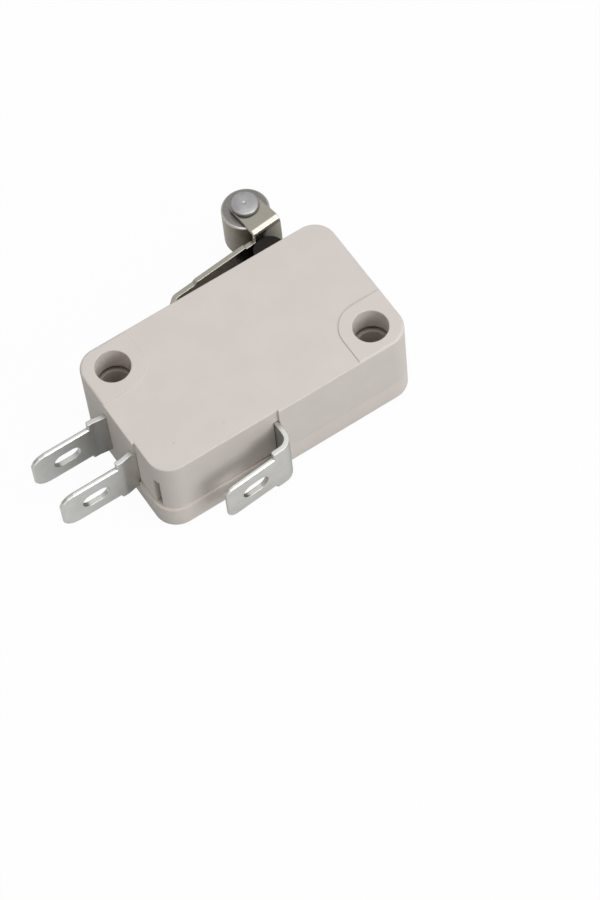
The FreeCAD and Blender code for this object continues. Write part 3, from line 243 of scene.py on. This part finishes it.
class Shade:
    """A value on a surface: one node's output socket. Arithmetic on it adds Math nodes."""

    def __init__(self, finish, socket):
        self.finish = finish
        self.socket = socket

    def math(self, operation, *values):
        return self.finish.add("ShaderNodeMath", {"operation": operation}, dict(enumerate(values)))

    def __add__(self, other):
        return self.math("ADD", self, other)

    __radd__ = __add__

    def __sub__(self, other):
        return self.math("SUBTRACT", self, other)

    def __rsub__(self, other):
        return self.math("SUBTRACT", other, self)

    def __mul__(self, other):
        return self.math("MULTIPLY", self, other)

    __rmul__ = __mul__

    def __truediv__(self, other):
        return self.math("DIVIDE", self, other)

    def size(self):
        """Without its sign."""
        return self.math("ABSOLUTE", self)

    def sine(self):
        return self.math("SINE", self)

    def rise(self, low, high):
        """0 below low, 1 above high and a smooth step between them; falls where low is above high."""
        if low > high:
            return 1 - self.rise(high, low)
        settings = {"interpolation_type": "SMOOTHSTEP"}
        inputs = {"Value": self, "From Min": low, "From Max": high}
        return self.finish.add("ShaderNodeMapRange", settings, inputs)


class Finish:
    """A material or the world, built up node by node."""

    def __init__(self, owner, output="ShaderNodeOutputMaterial", coordinates="Object"):
        owner.use_nodes = True
        self.owner = owner
        self.output = output
        self.tree = owner.node_tree
        self.tree.nodes.clear()
        self.place = self.add("ShaderNodeTexCoord", output=coordinates)

    def add(self, kind, settings=None, inputs=None, output=0):
        """Any node: its settings first, then the values or links of its sockets, then one output."""
        node = self.tree.nodes.new(kind)
        for key, value in (settings or {}).items():
            setattr(node, key, value)
        for key, value in (inputs or {}).items():
            if isinstance(value, Shade):
                self.tree.links.new(value.socket, node.inputs[key])
            else:
                node.inputs[key].default_value = value
        return Shade(self, node.outputs[output])

    def vector(self, operation, *values, output=0):
        """Arithmetic on vectors."""
        return self.add("ShaderNodeVectorMath", {"operation": operation}, dict(enumerate(values)), output)

    def along(self, axis):
        """The place along one axis, in millimetres."""
        parts = self.add("ShaderNodeSeparateXYZ", inputs={0: self.place}, output=axis)
        return parts / MM

    def stretched(self, x, y, z):
        """The place in millimetres, each direction multiplied, for a grain that runs one way."""
        return self.vector("MULTIPLY", self.place, (x / MM, y / MM, z / MM))

    def noise(self, place, scale, detail=3.0, roughness=0.55):
        """Cloudy noise from 0 to 1, its scale in clouds to a millimetre."""
        inputs = {"Vector": place, "Scale": scale, "Detail": detail, "Roughness": roughness}
        return self.add("ShaderNodeTexNoise", inputs=inputs)

    def specks(self, place, scale, radius, share_kept):
        """1 inside small dots, scattered one to a cell in only some of the cells."""
        inputs = {"Vector": place, "Scale": scale, "Randomness": 1.0}
        distance = self.add("ShaderNodeTexVoronoi", inputs=inputs, output="Distance")
        cell = self.add("ShaderNodeTexVoronoi", inputs=inputs, output="Color")
        draw = self.add("ShaderNodeSeparateColor", inputs={0: cell})
        chosen = draw.rise(1 - share_kept - 0.001, 1 - share_kept)
        return distance.rise(radius * 1.6, radius) * chosen

    def mix(self, amount, first, second):
        """The first colour where the amount is 0, the second where it is 1."""
        first, second = [c if isinstance(c, Shade) else (*c, 1.0) for c in (first, second)]
        settings = {"data_type": "RGBA", "clamp_factor": True}
        return self.add("ShaderNodeMix", settings, {0: amount, 6: first, 7: second}, output=2)

    def painted_shade_mask(self, reach):
        """0 in the open, 1 deep in a hole or a narrow gap: an ambient occlusion mask, for painting shade into
        colours.
        """
        inputs = {"Distance": reach}
        open_share = self.add("ShaderNodeAmbientOcclusion", {"samples": 12}, inputs, output="AO")
        return (1 - open_share).rise(0.12, 0.92)

    def soft_normal(self, radius):
        """The surface's direction with its edges rounded to a radius."""
        return self.add("ShaderNodeBevel", {"samples": 6}, {"Radius": radius})

    def edges(self, soft):
        """1 on the edges that the rounding reaches, 0 on flat ground."""
        plain = self.add("ShaderNodeNewGeometry", output="Normal")
        return self.vector("DOT_PRODUCT", soft, plain, output="Value").rise(0.999, 0.90)

    def bump(self, height, distance, normal, strength=1.0):
        """A normal tilted by a height map."""
        inputs = {"Height": height, "Distance": distance, "Strength": strength, "Normal": normal}
        return self.add("ShaderNodeBump", inputs=inputs)

    def close(self, **inputs):
        """The surface shader with its sockets, underscores standing for spaces, and the output."""
        named = {key.replace("_", " "): value for key, value in inputs.items()}
        for key, value in named.items():
            if isinstance(value, tuple) and len(value) == 3:
                named[key] = (*value, 1.0)
        self.add_output(self.add("ShaderNodeBsdfPrincipled", inputs=named))
        return self.owner

    def add_output(self, shader):
        output = self.tree.nodes.new(self.output)
        self.tree.links.new(shader.socket, output.inputs["Surface"])


def new_finish(name):
    """A new, empty material."""
    return Finish(bpy.data.materials.new(name))


def scaled(colour, factor):
    """A colour made lighter or darker, as plain numbers."""
    return tuple(min(1.0, channel * factor) for channel in colour)


def moulded_plastic(name, colour, look):
    """Moulded plastic: mould grain, soft cloudiness, specks in the melt, edges painted lighter as a highlight
    and painted shade in hollows and gaps.
    """
    finish = new_finish(name)
    place = finish.stretched(1, 1, 1)
    cloud = finish.noise(place, 0.32, 2.0)
    mottle = finish.noise(place, 2.6, 3.0)
    fine = finish.noise(place, MM / look.grain, 2.0, 0.6)
    ripple = finish.noise(place, 0.9, 1.0)
    soft = finish.soft_normal(look.softening)
    edge = finish.edges(soft)
    paint = finish.mix(cloud.rise(0.3, 0.75) * 0.8, scaled(colour, 0.975), scaled(colour, 1.02))
    paint = finish.mix(mottle.rise(0.52, 0.75) * 0.3, paint, scaled(colour, 0.95))
    # Painted highlight: the rounded edges are painted lighter than the plastic.
    paint = finish.mix(edge * 0.35, paint, scaled(colour, 1.12))
    # Painted shade: ambient occlusion darkens the colour in hollows, and far darker in the deepest gaps.
    painted_shade_mask = finish.painted_shade_mask(look.painted_shade_reach)
    paint = finish.mix(painted_shade_mask * look.painted_shade_share, paint, tuple(look.painted_shade_colour))
    paint = finish.mix(painted_shade_mask.rise(0.8, 1.0) * look.painted_gap_shade_share, paint, tuple(look.painted_gap_shade_colour))
    dots = finish.specks(place, 0.55, 0.045, 0.3)
    paint = finish.mix(dots * 0.3, paint, scaled(colour, 0.5))
    height = fine * 0.6 + ripple * 1.4
    rough = fine * 0.12 + (look.roughness - 0.06) + edge * -0.08
    return finish.close(
        Base_Color=paint, Roughness=rough, IOR=1.5, Specular_IOR_Level=0.42,
        Normal=finish.bump(height, MOULD_GRAIN, soft),
    )


def black_plastic(name, colour, roughness, softening=0.00012):
    """Dark smooth plastic with dust, faint rub marks and edges painted lighter as a highlight."""
    finish = new_finish(name)
    place = finish.stretched(1, 1, 1)
    rub = finish.noise(finish.stretched(1, 6, 1), 1.3, 4.0)
    dust = finish.specks(place, 4.0, 0.1, 0.25)
    soft = finish.soft_normal(softening)
    edge = finish.edges(soft)
    # Painted highlight: the rounded edges are painted lighter than the plastic.
    paint = finish.mix(edge * 0.5, colour, scaled(colour, 2.4))
    paint = finish.mix(dust * 0.5, paint, scaled(colour, 6.0))
    rough = rub.rise(0.35, 0.7) * 0.2 + roughness
    return finish.close(
        Base_Color=paint, Roughness=rough, IOR=1.45, Specular_IOR_Level=0.25,
        Normal=finish.bump(finish.noise(place, 7.0), SMOOTH_GRAIN, soft),
    )


def rolled_metal(
    name, colour, stain, roughness, grain, softening, painted_edge_level, shade_reach=0.0012, shade_share=0.25
):
    """Sheet metal: a grain one way from rolling, stains in patches, edges painted lighter than the sheet
    as a highlight where the edge level is above 1 and darker as shade below 1, and painted shade in hollows."""
    finish = new_finish(name)
    place = finish.stretched(1, 1, 1)
    streak = finish.noise(finish.stretched(*grain), 1.0, 4.0, 0.6)
    patch = finish.noise(place, 0.75, 3.0)
    speckle = finish.noise(place, 11.0, 2.0)
    soft = finish.soft_normal(softening)
    edge = finish.edges(soft)
    paint = finish.mix(patch.rise(0.35, 0.8) * 0.4, colour, stain)
    paint = finish.mix(streak.rise(0.45, 0.75) * 0.2, paint, scaled(colour, 0.85))
    paint = finish.mix(speckle.rise(0.62, 0.8) * 0.15, paint, scaled(colour, 1.12))
    # Painted highlight on the edges where the edge level is above 1, painted shade where it is below 1.
    paint = finish.mix(edge * 0.7, paint, scaled(colour, painted_edge_level))
    # Painted shade: ambient occlusion darkens the colour in hollows and close to neighbouring parts.
    paint = finish.mix(finish.painted_shade_mask(shade_reach) * shade_share, paint, scaled(colour, 0.2))
    rough = streak * 0.10 + patch * 0.08 + (roughness - 0.09)
    height = streak * 0.35 + speckle * 0.1 + patch * 0.8
    return finish.close(
        Base_Color=paint, Metallic=1.0, Roughness=rough,
        Normal=finish.bump(height, METAL_GRAIN, soft),
    )


def turned_metal(
    name, colour, end_colour, low, high, radius, roughness, rim, painted_rim_level, softening=0.00006,
    shade_reach=0.0014, shade_share=0.8,
):
    """Turned metal: rings on the faced ends, a fine circumferential grain, the tread in the first colour and
    the ends in the second, rims painted over the given width to the rim level (a painted highlight above 1,
    painted shade below 1), edges painted lighter as a highlight and painted shade in hollows."""
    finish = new_finish(name)
    ring_rate, line_rate = 70.0, 60.0
    centred = finish.vector("SUBTRACT", finish.place, tuple(ROLLER_AXIS))
    reach = finish.vector("LENGTH", finish.vector("MULTIPLY", centred, (1.0, 1.0, 0.0)), output="Value") / MM
    height = finish.along("Z")
    middle = (low + high) / 2 / MM
    half = (high - low) / 2
    from_middle = (height - middle).size()
    end = from_middle.rise(half / MM - 0.16, half / MM - 0.02)
    # Painted rim: a band round the rims of the ends, painted to the rim level times the end colour; above 1
    # it is a painted highlight, below 1 painted shade.
    outward = reach.rise((radius - rim) / MM, (radius - rim * 0.6) / MM)
    endward = from_middle.rise((half - rim) / MM, (half - rim * 0.6) / MM)
    painted_rim = outward * endward
    place = finish.stretched(1, 1, 1)
    cloud = finish.noise(place, 1.1, 3.0)
    fine = finish.noise(place, 9.0, 2.0)
    rings = ((reach + fine * 0.04) * ring_rate).sine()
    lines = ((height + fine * 0.05) * line_rate).sine()
    tool = end * rings + (1 - end) * lines
    soft = finish.soft_normal(softening)
    edge = finish.edges(soft)
    paint = finish.mix(end, colour, end_colour)
    paint = finish.mix(cloud.rise(0.4, 0.75) * 0.4, paint, scaled(colour, 0.75))
    paint = finish.mix(tool.rise(0.2, 1.0) * 0.14, paint, scaled(end_colour, 1.25))
    # Painted highlight: the rounded edges are painted lighter.
    paint = finish.mix(edge * 0.6, paint, scaled(end_colour, 1.9))
    paint = finish.mix(painted_rim, paint, scaled(end_colour, painted_rim_level))
    # Painted shade: ambient occlusion darkens the colour in hollows and close to the ear and pin.
    paint = finish.mix(finish.painted_shade_mask(shade_reach) * shade_share, paint, scaled(colour, 0.2))
    rough = cloud * 0.14 + (roughness - 0.07)
    return finish.close(
        Base_Color=paint, Metallic=1.0, Roughness=rough,
        Normal=finish.bump(tool * 0.6 + fine * 0.5, METAL_GRAIN, soft),
    )


# Shapes as arrays


def grid_piece(name, points, rows_close=False):
    """A piece from a grid of points: each row joins the next, and each row closes on itself.
    Rows that shrink to a point become one vertex, so that the poles are closed."""
    rows, columns = points.shape[:2]
    row = np.arange(rows if rows_close else rows - 1)[:, None]
    column = np.arange(columns)[None, :]
    after_row = (row + 1) % rows
    after_column = (column + 1) % columns
    corners = [
        row * columns + column, row * columns + after_column,
        after_row * columns + after_column, after_row * columns + column,
    ]
    faces = np.stack(np.broadcast_arrays(*corners), axis=-1).reshape(-1, 4)
    mesh = bpy.data.meshes.new(name)
    mesh.from_pydata(points.reshape(-1, 3).tolist(), [], faces.tolist())
    work = bmesh.new()
    work.from_mesh(mesh)
    bmesh.ops.remove_doubles(work, verts=work.verts, dist=1e-7)
    bmesh.ops.recalc_face_normals(work, faces=work.faces)
    work.to_mesh(mesh)
    work.free()
    mesh.polygons.foreach_set("use_smooth", np.ones(len(mesh.polygons), bool))
    mesh.update()
    piece = bpy.data.objects.new(name, mesh)
    bpy.context.scene.collection.objects.link(piece)
    return piece


def rounded_profile(corners, steps=7):
    """Radius and height along a profile. Each corner is (radius, height, rounding): the arc of that
    rounding touches both runs, at a distance of rounding times tan of half the turn from the corner."""
    spots = np.array([corner[:2] for corner in corners], float)
    roundings = [corner[2] for corner in corners]
    path = [spots[:1]]
    for before, here, after, rounding in zip(spots, spots[1:], spots[2:], roundings[1:]):
        if rounding == 0:
            path.append(here[None])
            continue
        back = (before - here) / np.linalg.norm(before - here)
        ahead = (after - here) / np.linalg.norm(after - here)
        half_angle = math.acos(float(np.clip(back @ ahead, -1, 1))) / 2
        reach = rounding / math.tan(half_angle)
        bisector = (back + ahead) / np.linalg.norm(back + ahead)
        centre = here + bisector * rounding / math.sin(half_angle)
        start = here + back * reach - centre
        end = here + ahead * reach - centre
        share_along = np.linspace(0, 1, steps)[:, None]
        angle = math.acos(float(np.clip(start @ end / rounding**2, -1, 1)))
        arc = np.sin((1 - share_along) * angle) * start + np.sin(share_along * angle) * end
        path.append(centre + arc / math.sin(angle))
    path.append(spots[-1:])
    return np.concatenate(path)


def turned_piece(name, profile, axis_place, around, closed=False):
    """A profile turned about an upright axis: x = r cos a, y = r sin a, z = h for each (r, h)."""
    angle = np.linspace(0, 2 * math.pi, around, endpoint=False)
    radius = profile[:, 0][:, None]
    height = profile[:, 1][:, None]
    points = np.stack(
        np.broadcast_arrays(
            axis_place[0] + radius * np.cos(angle), axis_place[1] + radius * np.sin(angle), height
        ),
        axis=-1,
    )
    return grid_piece(name, points, rows_close=closed)


def coil_path(turns, coil_radius, span, steps):
    """Middle line of the spring along X: half a ring upright, the helix and half a ring laid flat.
    On the helix x grows evenly with the angle a, y = R cos a and z = R sin a."""
    ring = np.linspace(-math.pi / 2, math.pi / 2, steps // 2, endpoint=False)
    first = np.stack([coil_radius - coil_radius * np.cos(ring), coil_radius * np.sin(ring), 0 * ring], axis=1)
    angle = np.linspace(0, 2 * math.pi * turns, int(turns * steps) + 1)
    along = coil_radius + (span - 2 * coil_radius) * angle / angle[-1]
    helix = np.stack([along, coil_radius * np.cos(angle), coil_radius * np.sin(angle)], axis=1)
    ring = np.linspace(math.pi / 2, -math.pi / 2, steps // 2 + 1)[1:]
    last = np.stack(
        [span - coil_radius + coil_radius * np.cos(ring), 0 * ring, coil_radius * np.sin(ring)], axis=1
    )
    return np.concatenate([first, helix, last])


def wire_piece(name, path, radius, sides):
    """A round wire along a path: p + radius (n cos a + b sin a). The two directions n and b across
    the path start from fixed guides and are turned back by the twist summed up so far."""
    run = np.gradient(path, axis=0)
    run /= np.linalg.norm(run, axis=1)[:, None]
    guide = np.where(np.abs(run[:, 2:]) < 0.8, [[0.0, 0.0, 1.0]], [[1.0, 0.0, 0.0]])
    across = np.cross(run, guide)
    across /= np.linalg.norm(across, axis=1)[:, None]
    beside = np.cross(run, across)
    turn = np.arctan2(
        np.sum(across[1:] * beside[:-1], axis=1), np.sum(across[1:] * across[:-1], axis=1)
    )
    twist = -np.concatenate([[0.0], np.cumsum(turn)])[:, None]
    steady = across * np.cos(twist) + beside * np.sin(twist)
    third = np.cross(run, steady)
    angle = np.linspace(0, 2 * math.pi, sides, endpoint=False)[None, :, None]
    rings = path[:, None] + radius * (steady[:, None] * np.cos(angle) + third[:, None] * np.sin(angle))
    ends = [np.repeat(path[i][None, None], sides, axis=1) for i in (0, -1)]
    return grid_piece(name, np.concatenate([ends[0], rings, ends[1]]))


def dress(node, material):
    """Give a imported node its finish."""
    piece = frame["nodes"][node]
    piece.data.materials.clear()
    piece.data.materials.append(material)


def settle(piece, material, body, node):
    """Finish a new piece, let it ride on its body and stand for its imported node."""
    piece.data.materials.append(material)
    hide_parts(node)
    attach(piece, body)


# Pieces


class SWITCH_OT_housing(bpy.types.Operator):
    """Finish the two shells of the housing"""

    bl_idname = "switch.housing"
    bl_label = "Housing"

    def execute(self, context):
        look = context.scene.switch_housing
        for node, colour in (("case", look.case_colour), ("cover", look.cover_colour)):
            dress(node, moulded_plastic(f"moulded_{node}", tuple(colour), look))
        return {"FINISHED"}


class SWITCH_OT_plunger(bpy.types.Operator):
    """Finish the plunger"""

    bl_idname = "switch.plunger"
    bl_label = "Plunger"

    def execute(self, context):
        look = context.scene.switch_plunger
        dress("plunger", black_plastic("plunger_plastic", tuple(look.colour), look.roughness))
        return {"FINISHED"}


class SWITCH_OT_terminals(bpy.types.Operator):
    """Finish the three plug-on terminals"""

    bl_idname = "switch.terminals"
    bl_label = "Terminals"

    def execute(self, context):
        look = context.scene.switch_terminals
        for node in ("nc_terminal", "no_terminal", "com_terminal"):
            # Edge level 0.8 paints the sheared edges darker, as painted shade; hollows get the default
            # painted shade.
            dress(node, rolled_metal(
                f"tinned_{node}", tuple(look.colour), tuple(look.tarnish), look.roughness,
                grain=(0.6, 5.0, 5.0), softening=look.softening, painted_edge_level=0.8,
            ))
        return {"FINISHED"}


class SWITCH_OT_lever(bpy.types.Operator):
    """Finish the folded lever"""

    bl_idname = "switch.lever"
    bl_label = "Lever"

    def execute(self, context):
        look = context.scene.switch_lever
        colour = tuple(look.colour)
        # Painted shade: a long occlusion reach darkens the lever in its hollows and on its underside over the
        # housing; edge level 1.6 paints its edges lighter as a highlight.
        dress("lever", rolled_metal(
            "lever_steel", colour, scaled(colour, 0.8), look.roughness, grain=(0.5, 4.0, 6.0),
            softening=look.softening, painted_edge_level=1.6, shade_reach=0.0035, shade_share=0.45,
        ))
        return {"FINISHED"}


class SWITCH_OT_roller(bpy.types.Operator):
    """Turn the roller and its riveted pin"""

    bl_idname = "switch.roller"
    bl_label = "Roller and pin"

    def execute(self, context):
        shape = context.scene.switch_roller
        self.turn_roller(shape)
        self.turn_pin(shape)
        return {"FINISHED"}

    def turn_roller(self, shape):
        """A tube with rounded rims: bore, end face, tread and the other end face."""
        low, high = ROLLER_LOW.z, ROLLER_HIGH.z
        radius = (ROLLER_HIGH.x - ROLLER_LOW.x) / 2
        bore = shape.pin_radius + shape.bore_play
        middle = (low + high) / 2
        profile = rounded_profile([
            (bore, middle, 0), (bore, low, shape.bore_round), (radius, low, shape.rim_round),
            (radius, high, shape.rim_round), (bore, high, shape.bore_round), (bore, middle, 0),
        ], steps=12)[:-1]
        piece = turned_piece("roller_turned", profile, ROLLER_AXIS, shape.around, closed=True)
        # The tread's darker, browner steel is painted shade for its dark reflection; rim level 2.2 paints a
        # bright rim highlight.
        steel = turned_metal(
            "roller_steel", tuple(shape.steel), tuple(shape.end_steel), low, high, radius,
            roughness=0.24, rim=shape.rim_round, painted_rim_level=2.2,
        )
        settle(piece, steel, "roller_body", "roller")

    def turn_pin(self, shape):
        """A shank with a flat head and centre mark above, and a riveted dome below."""
        low, high = PIN_LOW.z, PIN_HIGH.z
        head = (PIN_HIGH.x - PIN_LOW.x) / 2
        ear_top = high - shape.head_height
        ear_low = low + shape.dome_height
        profile = rounded_profile([
            (0, low, 0),
            (shape.dome_radius * 0.45, low + shape.dome_crown, shape.crown_round),
            (shape.dome_radius * 0.85, low + shape.dome_height * 0.5, shape.dome_round),
            (shape.dome_radius, ear_low, 0),
            (shape.pin_radius, ear_low, 0),
            (shape.pin_radius, ear_top, 0),
            (head, ear_top, 0),
            (head, high, shape.head_round),
            (shape.mark_radius, high, shape.mark_round),
            (0, high - shape.mark_depth, 0),
        ])
        piece = turned_piece("roller_pin_turned", profile, ROLLER_AXIS, shape.around)
        colour = tuple(shape.pin_steel)
        # Painted shade: the shank and the head's side take half the pin's colour, and rim level 0.75 paints
        # the head's rim darker.
        steel = turned_metal(
            "pin_steel", scaled(colour, 0.5), colour, low, high, head,
            roughness=0.3, rim=shape.head_round, painted_rim_level=0.75,
        )
        settle(piece, steel, "lever_arm", "roller_pin")


class SWITCH_OT_spring(bpy.types.Operator):
    """Coil the snap spring"""

    bl_idname = "switch.spring"
    bl_label = "Snap spring"

    def execute(self, context):
        shape = context.scene.switch_spring
        path = coil_path(shape.turns, shape.coil_radius, shape.span, shape.steps)
        turn = np.array(Matrix.Rotation(shape.lean, 3, "Z"))
        path = path @ turn.T + np.array(SPRING_FOOT)
        piece = wire_piece("snap_spring_coil", path, shape.wire_radius, shape.sides)
        colour = tuple(shape.colour)
        # Edge level 1.2 paints the wire's edges lighter as a highlight; hollows get the default painted
        # shade.
        wire = rolled_metal(
            "spring_wire", colour, scaled(colour, 0.8), roughness=0.28, grain=(3.0, 3.0, 3.0),
            softening=0.00003, painted_edge_level=1.2,
        )
        settle(piece, wire, "spring_body", "snap_spring")
        return {"FINISHED"}


class SWITCH_OT_mechanism(bpy.types.Operator):
    """Finish the pieces of the snap mechanism inside the housing"""

    bl_idname = "switch.mechanism"
    bl_label = "Mechanism"

    def execute(self, context):
        look = context.scene.switch_mechanism
        plan = (
            ("bracket_brass", look.bracket_colour, 0.3, ("bracket", "bracket_rivet_1", "bracket_rivet_2")),
            ("spring_copper", look.arm_colour, 0.28, ("contact_arm",)),
            ("contact_silver", look.contact_colour, 0.2, ("nc_contact", "no_contact", "moving_contact")),
            ("pressed_steel", look.press_colour, 0.3, ("press_lever", "press_pin_1", "press_pin_2")),
        )
        for name, colour, roughness, nodes in plan:
            colour = tuple(colour)
            # Edge level 1.25 paints the edges lighter as a highlight; hollows get the default painted shade.
            metal = rolled_metal(
                name, colour, scaled(colour, 0.8), roughness, grain=(0.6, 4.0, 4.0),
                softening=0.00006, painted_edge_level=1.25,
            )
            for node in nodes:
                dress(node, metal)
        return {"FINISHED"}


class SWITCH_OT_studio(bpy.types.Operator):
    """Set up the floor, the light and the camera"""

    bl_idname = "switch.studio"
    bl_label = "Studio"

    def execute(self, context):
        settings = context.scene.switch_studio
        self.lay_floor(settings)
        self.light_world(context.scene, settings)
        centre = (CAD_BOX[0] + CAD_BOX[1]) / 2
        self.hang_lamp("key_lamp", centre, settings.key_place, settings.key_size, settings.key_power)
        self.hang_lamp("front_lamp", centre, settings.front_place, settings.front_size, settings.front_power)
        self.place_camera(context.scene, settings)
        context.scene.view_settings.view_transform = "Standard"
        return {"FINISHED"}

    def lay_floor(self, settings):
        """A pale floor just under the part, near white to the eye, that keeps a soft shadow. Where metal
        mirrors it, the floor is painted dark close to the part: a painted shadow."""
        half_side = 3.0
        gap_below = 0.00001
        corners = np.array([[-1, -1], [1, -1], [1, 1], [-1, 1]]) * half_side
        points = np.column_stack([corners, np.full(4, -gap_below)])
        mesh = bpy.data.meshes.new("floor")
        mesh.from_pydata(points.tolist(), [], [(0, 1, 2, 3)])
        floor = bpy.data.objects.new("floor", mesh)
        bpy.context.scene.collection.objects.link(floor)
        finish = new_finish("floor_paint")
        scattered = finish.add("ShaderNodeLightPath", output="Is Diffuse Ray")
        mirrored = finish.add("ShaderNodeLightPath", output="Is Glossy Ray")
        pale, dull, dark = (0.9, 0.9, 0.9), (0.45, 0.45, 0.45), (0.05, 0.05, 0.045)
        colour = finish.mix(scattered, pale, dull)
        # Painted shadow: in what metal mirrors, the floor is painted dark near the part, by ambient
        # occlusion.
        near = finish.painted_shade_mask(settings.floor_shadow_reach)
        colour = finish.mix(mirrored * near, colour, dark)
        paint = finish.add("ShaderNodeBsdfDiffuse", inputs={"Color": colour})
        glow = finish.add("ShaderNodeEmission", inputs={"Color": WHITE, "Strength": 1.0})
        seen = finish.add("ShaderNodeLightPath", output="Is Camera Ray")
        white = seen * settings.floor_white + mirrored * (1 - near) * settings.floor_glow
        finish.add_output(finish.add("ShaderNodeMixShader", inputs={0: white, 1: paint, 2: glow}))
        mesh.materials.append(finish.owner)

    def light_world(self, scene, settings):
        """White to the eye, an even plain light on the part, and a room that its metal mirrors: brighter
        overhead than at the horizon, and brightest at the front, as with a window there."""
        world = bpy.data.worlds.new("studio")
        finish = Finish(world, "ShaderNodeOutputWorld", "Generated")
        seen = finish.add("ShaderNodeLightPath", output="Is Camera Ray")
        mirrored = finish.add("ShaderNodeLightPath", output="Is Glossy Ray")
        upward = finish.add("ShaderNodeSeparateXYZ", inputs={0: finish.place}, output="Z")
        forward = finish.add("ShaderNodeSeparateXYZ", inputs={0: finish.place}, output="Y")
        room = upward.rise(0.2, 0.85) * (settings.mirrored_high - settings.mirrored_low)
        room = room + settings.mirrored_low + forward.rise(-0.05, -0.6) * settings.mirrored_front
        level = mirrored * (room - settings.ambient) + settings.ambient
        level = seen * (1 - level) + level
        finish.add_output(finish.add("ShaderNodeBackground", inputs={"Color": WHITE, "Strength": level}))
        scene.world = world

    def hang_lamp(self, name, centre, offset, size, power):
        """A square soft lamp that faces the part."""
        lamp = bpy.data.lights.new(name, "AREA")
        lamp.shape = "SQUARE"
        lamp.size = size
        lamp.energy = power
        holder = bpy.data.objects.new(name, lamp)
        holder.location = centre + offset
        holder.rotation_mode = "QUATERNION"
        holder.rotation_quaternion = (-offset).to_track_quat("-Z", "Y")
        bpy.context.scene.collection.objects.link(holder)

    def place_camera(self, scene, settings):
        """The camera at the photograph's place and angle."""
        camera = bpy.data.cameras.new("camera")
        camera.lens = settings.focal_length
        camera.sensor_width = FRAME_WIDTH
        camera.clip_start = 0.01
        camera.clip_end = 50.0
        holder = bpy.data.objects.new("camera", camera)
        scene.collection.objects.link(holder)
        holder.location = settings.camera_place
        holder.rotation_euler = settings.camera_turn
        scene.camera = holder


class SWITCH_PT_panel(bpy.types.Panel):
    """The switch's pieces and studio, in the order in which they are made"""

    bl_label = "Roller Lever Micro Switch"
    bl_idname = "SWITCH_PT_panel"
    bl_space_type = "VIEW_3D"
    bl_region_type = "UI"
    bl_category = "Switch"

    def draw(self, context):
        for operator, group in STEPS:
            box = self.layout.box()
            box.operator(operator.bl_idname)
            settings = getattr(context.scene, group)
            for name in settings.__annotations__:
                box.prop(settings, name)


STEPS = (
    (SWITCH_OT_housing, "switch_housing"),
    (SWITCH_OT_plunger, "switch_plunger"),
    (SWITCH_OT_terminals, "switch_terminals"),
    (SWITCH_OT_lever, "switch_lever"),
    (SWITCH_OT_roller, "switch_roller"),
    (SWITCH_OT_spring, "switch_spring"),
    (SWITCH_OT_mechanism, "switch_mechanism"),
    (SWITCH_OT_studio, "switch_studio"),
)
GROUPS = {
    "switch_housing": HousingFinish,
    "switch_plunger": PlungerFinish,
    "switch_terminals": TerminalFinish,
    "switch_lever": LeverFinish,
    "switch_roller": RollerShape,
    "switch_spring": SpringShape,
    "switch_mechanism": MechanismFinish,
    "switch_studio": StudioSettings,
}
CLASSES = (*GROUPS.values(), *(operator for operator, _ in STEPS), SWITCH_PT_panel)


def register():
    for each in CLASSES:
        bpy.utils.register_class(each)
    for name, group in GROUPS.items():
        setattr(bpy.types.Scene, name, PointerProperty(type=group))


def unregister():
    for name in GROUPS:
        delattr(bpy.types.Scene, name)
    for each in reversed(CLASSES):
        bpy.utils.unregister_class(each)


def main():
    register()
    for operator, _ in STEPS:
        family, name = operator.bl_idname.split(".")
        getattr(getattr(bpy.ops, family), name)()


if __name__ == "__main__":
    main()
